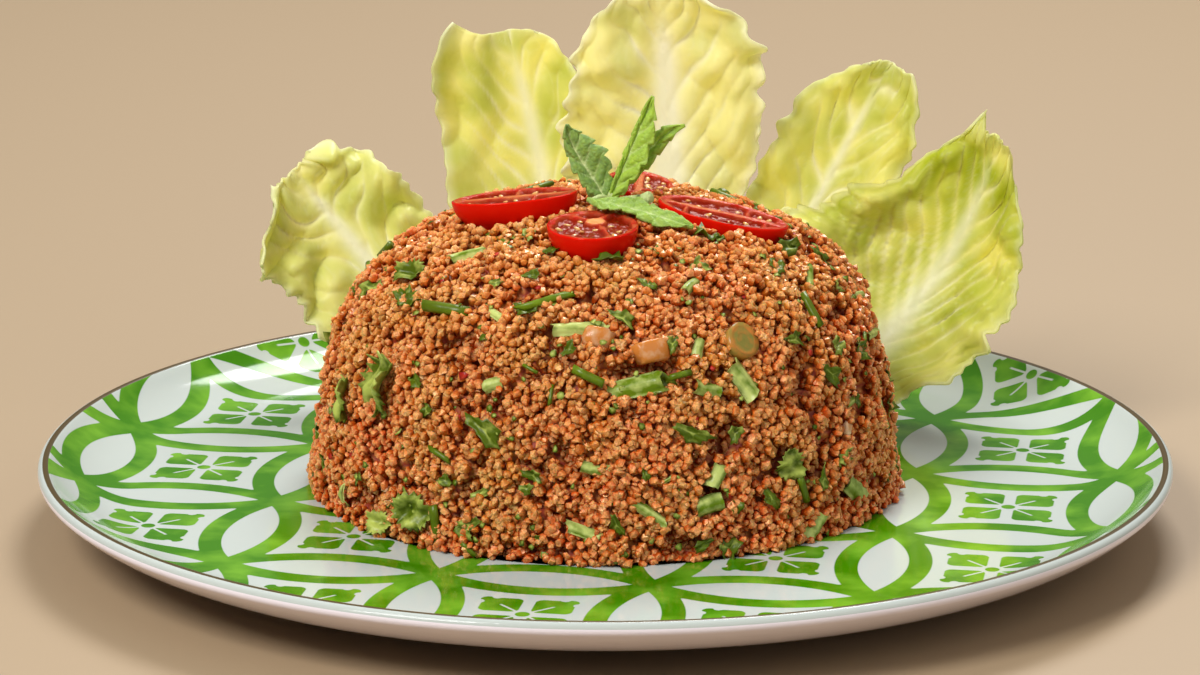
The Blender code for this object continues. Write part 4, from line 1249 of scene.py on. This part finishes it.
def romaine_vein(leaf, t, across, length_mm):
    """How close a point lies to a side vein, and how far it lies between two veins, both 0 to 1."""
    side = abs(across)
    width = between(leaf["right" if across > 0 else "left"], t)
    wander = noise.noise(Vector((leaf["seed"] * 3.1, t * 5, across * 2.2))) * 7.5
    run = t * length_mm - leaf["sweep"] * side**1.1 * width + wander + (4.1 if across > 0 else 0)
    spacing = 9.5
    part = (run / spacing) % 1.0
    off = min(part, 1 - part) * spacing
    vein = math.exp(-((off / (0.5 + 1.6 * (1 - side) ** 1.5)) ** 2)) * (1 - smooth_step(0.3, 0.9, side))
    faint = noise.noise(Vector((t * 9, across * 2, leaf["seed"] * 1.7)))
    vein *= 0.35 + 0.65 * smooth_step(-0.2, 0.25, faint)
    finer = noise.noise(Vector((run / 5, side * width / 3.5, leaf["seed"] + across)))
    vein = max(vein, 0.4 * math.exp(-((finer / 0.07) ** 2)) * (1 - side))
    return vein, math.sin(math.pi * part) ** 0.8


def romaine_point(leaf, t, across):
    """Point of a leaf's middle surface at t along the rib and across from -1, left, to 1, right."""
    centre, side, out = blade_frame(leaf, t)
    right = across > 0
    wave = noise.noise(Vector((leaf["seed"], t * leaf["ruffles"] * 2.2, across)))
    tip = (1 - t ** leaf["bluntness"]) ** 0.4
    width = between(leaf["right" if right else "left"], t) * MM * tip * (1 + 0.08 * wave)
    edge = noise.noise(Vector((leaf["seed"] + 5, t * 26, 3.0 * right)))
    width *= 1 + 0.045 * leaf["crumple"] * edge * abs(across) ** 4
    bend = math.radians(between(leaf["bend"][right], t))
    reach, lift = rolled(abs(across), bend, math.radians(leaf["flare"][right]) * min(t * 2, 1.0))
    ruffle = math.sin(t * leaf["ruffles"] * math.tau + 1.7 * right + 2 * wave)
    ruffle *= leaf["ruffle"] * MM * abs(across) ** 2.5 * min(t * 3, 1.0)
    frill = noise.noise(Vector((leaf["seed"] + 9, t * 15, across * 2))) * leaf["crumple"] * 1.5 * MM
    frill *= abs(across) ** 2.5
    point = centre + side * math.copysign(width * reach, across) + out * (width * lift + ruffle + frill)
    along = out.cross(side)
    point += along * (leaf["crown"][right] * MM * across * across * t**5)
    folds = abs(noise.noise(point / (13 * MM) + Vector((leaf["seed"], 0, 0)))) - 0.18
    folds *= leaf["crumple"] * 2.6 * MM * smooth_step(0.08, 0.5, abs(across)) * min(t * 2, 1)
    return point + out * folds


def romaine_blade(lettuce):
    """Romaine heart leaf: a thin crisp blade that glows yellow-green with the light behind it."""
    material, node = new_material("romaine_blade")
    parts = node("SeparateColor", {0: node("Attribute", attribute_name="leaf")}, output=None)
    place = node("TexCoord", output=3)
    clouds = node("TexNoise", {"Vector": place, "Scale": 70.0, "Detail": 4.0})
    uneven = node("MapRange", {0: clouds, 1: 0.3, 2: 0.7, 3: -0.3, 4: 0.3})
    deepness = node("Math", {0: parts.outputs[1], 1: uneven}, operation="ADD", use_clamp=True)
    blade = node("Mix", {0: deepness, 6: lettuce.light, 7: lettuce.deep}, **COLOUR_MIX)
    # The first value holds the midrib, veins and pale foot, and the painted highlight along the margins and
    # at the tip
    body = node("Mix", {0: parts.outputs[0], 6: blade, 7: lettuce.pale}, **COLOUR_MIX)
    # Fine veins leave a net of ridges about 2 mm apart
    net = node("TexVoronoi", {"Vector": place, "Scale": 420.0}, feature="DISTANCE_TO_EDGE")
    bump = node("Bump", {"Height": net, "Strength": 0.25, "Distance": 0.4 * MM})
    shader = node("BsdfPrincipled", {"Base Color": body, "Roughness": 0.38, "IOR": 1.4, "Normal": bump})
    through = node("BsdfTranslucent", {"Color": body, "Normal": bump})
    mixed = node("MixShader", {0: 0.5, 1: shader, 2: through})
    node("OutputMaterial", {"Surface": mixed}, output=None)
    return material


class SALAD_OT_lettuce(bpy.types.Operator):
    """Grows the five romaine leaves that stand behind the mound"""

    bl_idname = "salad.lettuce"
    bl_label = "Romaine leaves"

    def execute(self, context):
        lettuce = context.scene.salad_lettuce
        plate = context.scene.salad_plate
        material = romaine_blade(lettuce)
        for name, leaf in LEAVES.items():
            deselect_all()
            bpy.ops.mesh.primitive_grid_add(x_subdivisions=LEAF_COLUMNS, y_subdivisions=LEAF_ROWS, size=2)
            piece = bpy.context.object
            mesh = piece.data
            grid = corners_of(mesh)
            rib = [Vector(p) for p in leaf["rib"]]
            length_mm = sum((bezier(rib, (s + 1) / 20) - bezier(rib, s / 20)).length for s in range(20))
            group = piece.vertex_groups.new(name="thickness")
            points, values = [], []
            for index, (across, along, _) in enumerate(grid):
                t = 0.985 * (1 - (1 - (along + 1) / 2) ** 1.15)
                vein, blister = romaine_vein(leaf, t, across, length_mm)
                point = keep_clear(romaine_point(leaf, t, across), plate, lettuce.rib)
                _, _, out = blade_frame(leaf, t)
                side = abs(across)
                half = between(leaf["right" if across > 0 else "left"], t)
                rib_half = leaf["midrib"][0] * (1 - t) + leaf["midrib"][1] * t
                midrib = math.exp(-((side * half / rib_half) ** 2)) * (1 - 0.35 * t)
                midrib *= 1 - smooth_step(0.8, 1, t)
                puff = noise.noise(point / (5.5 * MM)) * 0.6 + 0.8 * blister * (1 - side * 0.5)
                swell = puff * leaf["crumple"] * 0.55 * MM * smooth_step(0.06, 0.3, side)
                swell *= smooth_step(0.0, 0.2, t)
                points.append(point + out * (swell - 0.25 * leaf["crumple"] * MM * vein))
                pale = leaf["pale"] + max(midrib, 0.8 * vein * (1 - 0.4 * t)) + 0.35 * (1 - t) ** 3
                # Painted highlight: the margins and the very tip are mixed towards the pale colour, as edges
                # catching the light
                pale += 0.4 * smooth_step(0.85, 1.0, side) + 0.3 * smooth_step(0.93, 1.0, t)
                deep = leaf["green"] + 0.3 * smooth_step(0.5, 1.0, side) * t - 0.3 * (1 - t)
                deep += leaf["stripes"] * (blister - 0.4) * (1 - side)
                deep += 0.6 * noise.noise(point / (9 * MM)) * t
                values.append((min(pale, 1), min(max(deep, 0), 1), t))
                group.add([index], midrib * (1 - t), "REPLACE")
            move_corners(mesh, points)
            write_attribute(mesh, "leaf", np.array(values))
            solidify = piece.modifiers.new("Thickness", "SOLIDIFY")
            solidify.thickness = lettuce.thickness + lettuce.rib
            solidify.offset = 0.0
            solidify.vertex_group = group.name
            solidify.thickness_vertex_group = lettuce.thickness / (lettuce.thickness + lettuce.rib)
            apply_all_modifiers(piece)
            bpy.ops.object.shade_smooth()
            finish_piece(piece, f"fresh_{name}", "romaine_leaf", name, materials=(material,))
        return {"FINISHED"}


# The tomato halves


def cut_face(u, v, style, seed):
    """How far a point of the cut face is seed chamber and pale core, 0 to 1. u and v run from -1 to 1."""
    reach = math.hypot(u, v)
    ripple = 0.09 * noise.noise(Vector((u * 3.5, v * 3.5, seed)))
    if style == "across":
        core_reach = math.hypot(u + 0.3, v - 0.05)
        angle = math.atan2(v - 0.05, u + 0.3)
        wall = min(abs(math.sin((angle - turn) / 2)) for turn in (0.35, 2.6, -2.2)) * core_reach * 2
        chamber = smooth_step(0.0, 0.06, 0.88 + ripple - reach) * smooth_step(0.2, 0.28, core_reach)
        chamber *= smooth_step(0.03, 0.1, wall + ripple)
        return chamber, 1 - smooth_step(0.14, 0.26, core_reach)
    chamber = smooth_step(0.0, 0.06, 0.88 + ripple - reach)
    chamber *= smooth_step(0.0, 0.08, abs(v) - 0.1 - ripple)
    bridge = abs(math.sin(2.6 * u + 0.8 * (v > 0) + seed))
    chamber *= smooth_step(0.04, 0.16, bridge)
    core = 0.35 * (1 - smooth_step(0.03, 0.12, abs(v + ripple))) * (1 - smooth_step(0.55, 0.9, reach))
    return chamber, core


def tomato_flesh(tomato):
    """Cut cherry tomato: wet glossy skin, firm red wall, and clear gel in the sunken seed chambers."""
    material, node = new_material("cherry_tomato")
    parts = node("SeparateColor", {0: node("Attribute", attribute_name="cut")}, output=None)
    gel, core, skin = parts.outputs
    place = node("TexCoord", output=3)
    fibres = node("TexNoise", {"Vector": place, "Scale": 420.0, "Detail": 4.0})
    blotch = node("MapRange", {0: fibres, 1: 0.4, 2: 0.75, 3: 0.0, 4: 0.3})
    flesh = node("Mix", {0: blotch, 6: tomato.flesh, 7: tomato.core}, **COLOUR_MIX)
    inner = node("Mix", {0: gel, 6: flesh, 7: tomato.gel}, **COLOUR_MIX)
    inner = node("Mix", {0: core, 6: inner, 7: tomato.core}, **COLOUR_MIX)
    body = node("Mix", {0: skin, 6: inner, 7: tomato.skin}, **COLOUR_MIX)
    rough = node("MapRange", {0: skin, 3: 0.22, 4: 0.12})
    bumpy = node("Math", {0: 1.0, 1: skin}, operation="SUBTRACT")
    height = node("Math", {0: fibres, 1: bumpy}, operation="MULTIPLY")
    bump = node("Bump", {"Height": height, "Strength": 0.9, "Distance": 0.6 * MM})
    shader = node(
        "BsdfPrincipled",
        {
            "Base Color": body,
            "Roughness": rough,
            "IOR": 1.38,
            "Specular IOR Level": 0.16,
            "Specular Tint": (1.0, 0.66, 0.45),
            "Subsurface Weight": 0.2,
            "Subsurface Radius": (1.0, 0.25, 0.1),
            "Subsurface Scale": 2 * MM,
            "Normal": bump,
        },
    )
    node("OutputMaterial", {"Surface": shader}, output=None)
    return material


def tomato_seed(tomato):
    """A flat tomato seed in its wet coat of gel."""
    material, node = new_material("tomato_seed")
    shader = node(
        "BsdfPrincipled",
        {
            "Base Color": tomato.seed,
            "Roughness": 0.18,
            "IOR": 1.4,
            "Coat Weight": 0.6,
            "Coat Roughness": 0.05,
            "Subsurface Weight": 0.3,
            "Subsurface Scale": 1 * MM,
        },
    )
    node("OutputMaterial", {"Surface": shader}, output=None)
    return material


class SALAD_OT_tomatoes(bpy.types.Operator):
    """Halves four cherry tomatoes and lays them on the mound with their seeds"""

    bl_idname = "salad.tomatoes"
    bl_label = "Tomato halves"

    def execute(self, context):
        tomato = context.scene.salad_tomatoes
        flesh = tomato_flesh(tomato)
        seed_material = tomato_seed(tomato)
        draw = random.Random(3)
        for name, half in TOMATOES.items():
            self.make_half(name, half, flesh)
            self.make_seeds(name, half, seed_material, draw)
        return {"FINISHED"}

    def make_half(self, name, half, material):
        deselect_all()
        bpy.ops.mesh.primitive_uv_sphere_add(segments=112, ring_count=96, radius=1)
        piece = bpy.context.object
        ball = corners_of(piece.data)
        long, wide, deep = (value * MM for value in half[1])
        place = tomato_matrix(half)
        points, values = [], []
        for x, y, z in ball:
            angle = math.atan2(y, x)
            around = math.hypot(x, y)
            if z > 0.01:
                polar = math.acos(min(z, 1.0)) / (math.pi / 2)
                reach = polar**0.9
                u, v = reach * math.cos(angle), reach * math.sin(angle)
                chamber, core = cut_face(u, v, half[5], half[2])
                lip = 0.15 * MM * smooth_step(0.9, 0.97, reach) * (1 - smooth_step(0.97, 1.0, reach))
                bumps = noise.noise(Vector((u * 7, v * 7, half[2]))) * 0.5 * MM
                down = -0.9 * MM * chamber + bumps * chamber + lip - 0.15 * MM * core
                points.append(place @ Vector((long * u, wide * v, down)))
                skin = smooth_step(0.965, 0.985, reach)
                values.append((chamber, core * (1 - chamber), skin))
            else:
                level = min(-z, 1.0)
                flat = (long * around * math.cos(angle), wide * around * math.sin(angle))
                points.append(place @ Vector((*flat, -level * deep)))
                values.append((0, 0, 1))
        move_corners(piece.data, points)
        write_attribute(piece.data, "cut", np.array(values))
        bpy.ops.object.shade_smooth()
        finish_piece(piece, f"cut_{name}", "cherry_tomato", name, materials=(material,))

    def make_seeds(self, name, half, material, draw):
        ball, faces = solid_of(bpy.ops.mesh.primitive_ico_sphere_add, subdivisions=2, radius=0.5)
        pointed = ball.copy()
        pointed[:, 1] *= 1 - 0.9 * np.clip(pointed[:, 0], 0, 1)
        place = np.array(tomato_matrix(half))
        long, wide, _ = half[1]
        copies = []
        tries = 0
        while len(copies) < SEEDS_PER_HALF and tries < SEED_TRIES:
            tries += 1
            u, v = draw.uniform(-0.75, 0.75), draw.uniform(-0.75, 0.75)
            chamber, _ = cut_face(u, v, half[5], half[2])
            local = np.array([long * u, wide * v, -0.85 + draw.uniform(-0.3, 0.15)]) * MM
            apart = all(np.linalg.norm(local - other[4]) > 1.7 * MM for other in copies)
            if chamber < 0.9 or not apart:
                continue
            turn = Matrix.Rotation(math.atan2(v, u) + draw.uniform(-0.7, 0.7), 3, "Z")
            turn = turn @ Matrix.Rotation(draw.uniform(-0.5, 0.5), 3, "Y")
            size = np.diag([2.3, 1.5, 0.9]) * MM * draw.uniform(0.8, 1.1)
            spot = place[:3, :3] @ local + place[:3, 3]
            copies.append((0, place[:3, :3] @ np.array(turn) @ size, spot, (draw.random(), 0), local))
        copies = [copy[:4] for copy in copies]
        piece = join_copies(f"seeds_{name}", [(pointed, faces, 0.0)], copies)
        finish_piece(piece, piece.name, "cherry_tomato", name, materials=(material,))


# The mint sprig

# Each leaf: rib points in mm, half widths in mm to the left and the right, way that the face looks at
# foot and tip, fold of each half in degrees, teeth along each edge and share of its light side that shows
MINT_LEAVES = (
    {
        "rib": ((0, -1.5, 77.8), (-0.8, -1, 82.5), (-9.5, 0.5, 90.5), (-9.2, 0.5, 96.6)),
        "left": (1, 3.6, 3.4, 2.2, 1.2), "right": (1, 4.4, 6.6, 5.2, 2.2),
        "faces": ((0.2, -1, 0.35), (0.1, -1, 0.2)), "fold": 20, "teeth": 6, "pale": 0.25,
    },
    {
        "rib": ((0.4, -2, 77.8), (3.4, -1.6, 84), (7.0, -1, 94), (11.2, -0.8, 103.6)),
        "left": (0.8, 1.0, 1.2, 1.2, 1.0), "right": (0.8, 3.4, 5.4, 5.0, 2.4),
        "faces": ((-0.2, -1, 0.1), (-0.2, -1, 0.1)), "fold": 24, "teeth": 6, "pale": 0.8,
    },
    {
        "rib": ((2.0, -1.0, 80.5), (7.5, 0.6, 85.2), (10.6, 1.6, 93.6), (18.9, 1.2, 96.0)),
        "left": (0.8, 2.4, 3.2, 2.6, 1.0), "right": (0.8, 2.2, 2.8, 2.4, 1.0),
        "faces": ((0.2, -1, 0.3), (0.2, -1, 0.5)), "fold": 20, "teeth": 5, "pale": 0.7,
    },
    {
        "rib": ((-4.2, -12.8, 80.8), (3.0, -15.0, 80.2), (11.0, -18.6, 79.0), (20.2, -23.6, 76.6)),
        "left": (1.0, 4.0, 5.0, 4.6, 1.6), "right": (1.0, 3.8, 4.6, 4.2, 1.6),
        "faces": ((0, 0, 1), (0.2, -0.45, 1)), "fold": 8, "teeth": 7, "pale": 0.5,
    },
)
STEM = ((1.2, -2.2, 72.5), (1.0, -2.2, 75.0), (0.6, -2.0, 77.0), (1.6, -1.8, 80.5))
FLAT_LEAF_STALK = ((0.8, -2.0, 77.5), (0.4, -5.5, 81.0), (-2.0, -9.5, 81.2), (-3.4, -13.2, 80.9))
BUD = ((1.0, -2.0, 77.6), (4.0, -5.0, 80.4), (7.5, -9.0, 79.6), (10.3, -11.6, 81.6))
STEM_RADIUS = 1.1


def fresh_mint(mint):
    """Mint: matt dark leaf with sunken veins above, lighter and downy with raised veins beneath."""
    material, node = new_material("fresh_mint")
    parts = node("SeparateColor", {0: node("Attribute", attribute_name="leaf")}, output=None)
    place = node("TexCoord", output=3)
    spots = node("TexNoise", {"Vector": place, "Scale": 700.0, "Detail": 3.0})
    uneven = node("MapRange", {0: spots, 1: 0.3, 2: 0.7, 3: -0.2, 4: 0.2})
    shade = node("Math", {0: parts.outputs[1], 1: uneven}, operation="ADD", use_clamp=True)
    blade = node("Mix", {0: shade, 6: mint.upper, 7: mint.under}, **COLOUR_MIX)
    body = node("Mix", {0: parts.outputs[0], 6: blade, 7: mint.vein}, **COLOUR_MIX)
    # The finest veins make a net of pillows about 1.2 mm wide
    net = node("TexVoronoi", {"Vector": place, "Scale": 830.0}, feature="DISTANCE_TO_EDGE")
    bump = node("Bump", {"Height": net, "Strength": 0.8, "Distance": 0.5 * MM})
    shader = node(
        "BsdfPrincipled",
        {"Base Color": body, "Roughness": 0.5, "IOR": 1.4, "Specular IOR Level": 0.35, "Normal": bump},
    )
    through = node("BsdfTranslucent", {"Color": body})
    mixed = node("MixShader", {0: 0.25, 1: shader, 2: through})
    node("OutputMaterial", {"Surface": mixed}, output=None)
    return material


class SALAD_OT_mint(bpy.types.Operator):
    """Builds the mint sprig on top"""

    bl_idname = "salad.mint"
    bl_label = "Mint sprig"

    def execute(self, context):
        mint = context.scene.salad_mint
        parts = [self.make_leaf(leaf, mint) for leaf in MINT_LEAVES]
        stems = (
            (STEM, STEM_RADIUS, 0.9 * STEM_RADIUS),
            (FLAT_LEAF_STALK, 0.8 * STEM_RADIUS, 0.55 * STEM_RADIUS),
            (BUD, 0.5 * STEM_RADIUS, 1.35 * STEM_RADIUS),
        )
        parts += [self.make_stem(*stem) for stem in stems]
        deselect_all()
        for part in parts:
            part.select_set(True)
        bpy.context.view_layer.objects.active = parts[0]
        bpy.ops.object.join()
        bpy.ops.object.shade_smooth()
        finish_piece(parts[0], "fresh_mint_sprig", "mint_leaf", "mint_sprig", materials=(fresh_mint(mint),))
        return {"FINISHED"}

    def make_leaf(self, leaf, mint):
        deselect_all()
        rows, columns = 12 * leaf["teeth"], 20
        bpy.ops.mesh.primitive_grid_add(x_subdivisions=columns, y_subdivisions=rows, size=2)
        piece = bpy.context.object
        grid = corners_of(piece.data)
        fold = math.sin(math.radians(leaf["fold"]))
        points, values = [], []
        for across, along, _ in grid:
            t = (along + 1) / 2
            centre, side, out = blade_frame(leaf, t)
            spot = abs(across)
            saw = (t * leaf["teeth"]) % 1.0
            tooth = 1 - 0.3 * saw**1.5 * spot**2
            width = between(leaf["right" if across > 0 else "left"], t) * MM * tooth
            width *= math.sqrt(1 - min(t, 0.995) ** 6)
            run = (t - 0.22 * spot) * leaf["teeth"]
            part = run % 1.0
            off = min(part, 1 - part)
            vein = math.exp(-((off / 0.09) ** 2)) * (1 - 0.7 * spot)
            rib = math.exp(-((spot / 0.09) ** 2))
            pillow = math.sin(math.pi * part) * 0.8 * MM * min(spot * 3, 1) * (1 - spot**4)
            wave = 0.8 * MM * math.sin(11 * t + 3 * across) * spot * spot
            lift = spot * width * fold + wave + pillow
            points.append(centre + side * (across * width) + out * lift)
            values.append((min(0.75 * rib + 0.5 * vein, 1), leaf["pale"], t))
        move_corners(piece.data, points)
        write_attribute(piece.data, "leaf", np.array(values))
        solidify = piece.modifiers.new("Thickness", "SOLIDIFY")
        solidify.thickness = mint.thickness
        solidify.offset = 0.0
        apply_all_modifiers(piece)
        return piece

    def make_stem(self, path, start, end):
        """A stalk drawn out of a round disc along its path."""
        deselect_all()
        path = [Vector(p) * MM for p in path]
        bpy.ops.mesh.primitive_cylinder_add(vertices=14, radius=1, depth=1, end_fill_type="TRIFAN")
        piece = bpy.context.object
        bpy.ops.object.mode_set(mode="EDIT")
        bpy.ops.mesh.select_all(action="SELECT")
        bpy.ops.mesh.bisect(plane_co=(0, 0, 0), plane_no=(0, 0, 1))
        for step in range(1, 6):
            for sign in (-1, 1):
                bpy.ops.mesh.select_all(action="SELECT")
                bpy.ops.mesh.bisect(plane_co=(0, 0, sign * step / 12), plane_no=(0, 0, 1))
        bpy.ops.object.mode_set(mode="OBJECT")
        points = []
        for x, y, z in corners_of(piece.data):
            t = z + 0.5
            along = bezier_slope(path, t)
            side = along.orthogonal().normalized()
            radius = (start + (end - start) * t) * MM
            points.append(bezier(path, t) + (side * x + along.cross(side) * y) * radius)
        move_corners(piece.data, points)
        write_attribute(piece.data, "leaf", np.tile([0.7, 0.5, 0.0], (len(points), 1)))
        return piece


# Floor, lights and camera

CAMERA_PLACE = (-0.0013, -0.9288, 0.28475)
CAMERA_PITCH = math.radians(75.5)


def plain_floor(stage):
    """A matt pale board: nothing on it to draw the eye."""
    material, node = new_material("plain_floor")
    shader = node("BsdfPrincipled", {"Base Color": stage.floor, "Roughness": 0.6})
    node("OutputMaterial", {"Surface": shader}, output=None)
    return material


class SALAD_OT_stage(bpy.types.Operator):
    """Sets the floor, the soft lights and the camera"""

    bl_idname = "salad.stage"
    bl_label = "Floor, lights and camera"

    def execute(self, context):
        stage = context.scene.salad_stage
        deselect_all()
        bpy.ops.mesh.primitive_plane_add(size=12)
        floor = bpy.context.object
        floor.name = "floor"
        floor.data.materials.append(plain_floor(stage))
        bpy.ops.object.camera_add(location=CAMERA_PLACE, rotation=(CAMERA_PITCH, 0, 0))
        camera = bpy.context.object
        camera.data.lens = stage.lens
        camera.data.clip_start = 0.01
        context.scene.camera = camera
        lights = (
            ("window", (-0.75, -0.85, 1.15), 0.6, stage.key),
            ("fill", (1.1, -0.9, 0.9), 1.2, stage.fill),
            ("behind", (0.25, 1.0, 1.35), 0.6, stage.back),
        )
        aim = Vector((0, 0, 0.04))
        for name, place, size, power in lights:
            bpy.ops.object.light_add(type="AREA", location=place)
            light = bpy.context.object
            light.name = name
            light.data.size = size
            light.data.energy = power
            light.rotation_euler = (aim - Vector(place)).to_track_quat("-Z", "Y").to_euler()
        world = bpy.data.worlds.new("soft_room")
        world.use_nodes = True
        node = partial(add_node, world.node_tree)
        # The room is dim low down, and the ceiling gives most of its light
        way = node("TexCoord", output=0)
        axes = node("SeparateXYZ", {0: way}, output=None)
        glow = node("MapRange", {0: axes.outputs[2], 1: 0.2, 2: 0.6, 3: 0.17, 4: 0.42})
        background = world.node_tree.nodes["Background"]
        background.inputs["Color"].default_value = (1.0, 0.98, 0.95, 1.0)
        world.node_tree.links.new(glow, background.inputs["Strength"])
        context.scene.world = world
        context.scene.view_settings.view_transform = "Standard"
        return {"FINISHED"}


# The panel and the run

STEPS = (
    SALAD_OT_plate,
    SALAD_OT_mound,
    SALAD_OT_herbs,
    SALAD_OT_lettuce,
    SALAD_OT_tomatoes,
    SALAD_OT_mint,
    SALAD_OT_stage,
)
SETTINGS = {
    "salad_plate": PlateSettings,
    "salad_mound": SaladSettings,
    "salad_herbs": HerbSettings,
    "salad_lettuce": LettuceSettings,
    "salad_tomatoes": TomatoSettings,
    "salad_mint": MintSettings,
    "salad_stage": StageSettings,
}


class SALAD_PT_panel(bpy.types.Panel):
    """Builds the salad piece by piece"""

    bl_idname = "SALAD_PT_panel"
    bl_label = "Bulgur Salad"
    bl_space_type = "VIEW_3D"
    bl_region_type = "UI"
    bl_category = "Salad"

    def draw(self, context):
        for step, name in zip(STEPS, SETTINGS):
            box = self.layout.box()
            box.operator(step.bl_idname)
            settings = getattr(context.scene, name)
            for prop in settings.__annotations__:
                box.prop(settings, prop)


def register():
    for settings in SETTINGS.values():
        bpy.utils.register_class(settings)
    for step in STEPS:
        bpy.utils.register_class(step)
    bpy.utils.register_class(SALAD_PT_panel)
    for name, settings in SETTINGS.items():
        setattr(bpy.types.Scene, name, PointerProperty(type=settings))


def unregister():
    for name in SETTINGS:
        delattr(bpy.types.Scene, name)
    for kind in (SALAD_PT_panel, *reversed(STEPS), *reversed(SETTINGS.values())):
        bpy.utils.unregister_class(kind)


def main():
    register()
    bpy.ops.salad.plate()
    bpy.ops.salad.mound()
    bpy.ops.salad.herbs()
    bpy.ops.salad.lettuce()
    bpy.ops.salad.tomatoes()
    bpy.ops.salad.mint()
    bpy.ops.salad.stage()


if __name__ == "__main__":
    main()
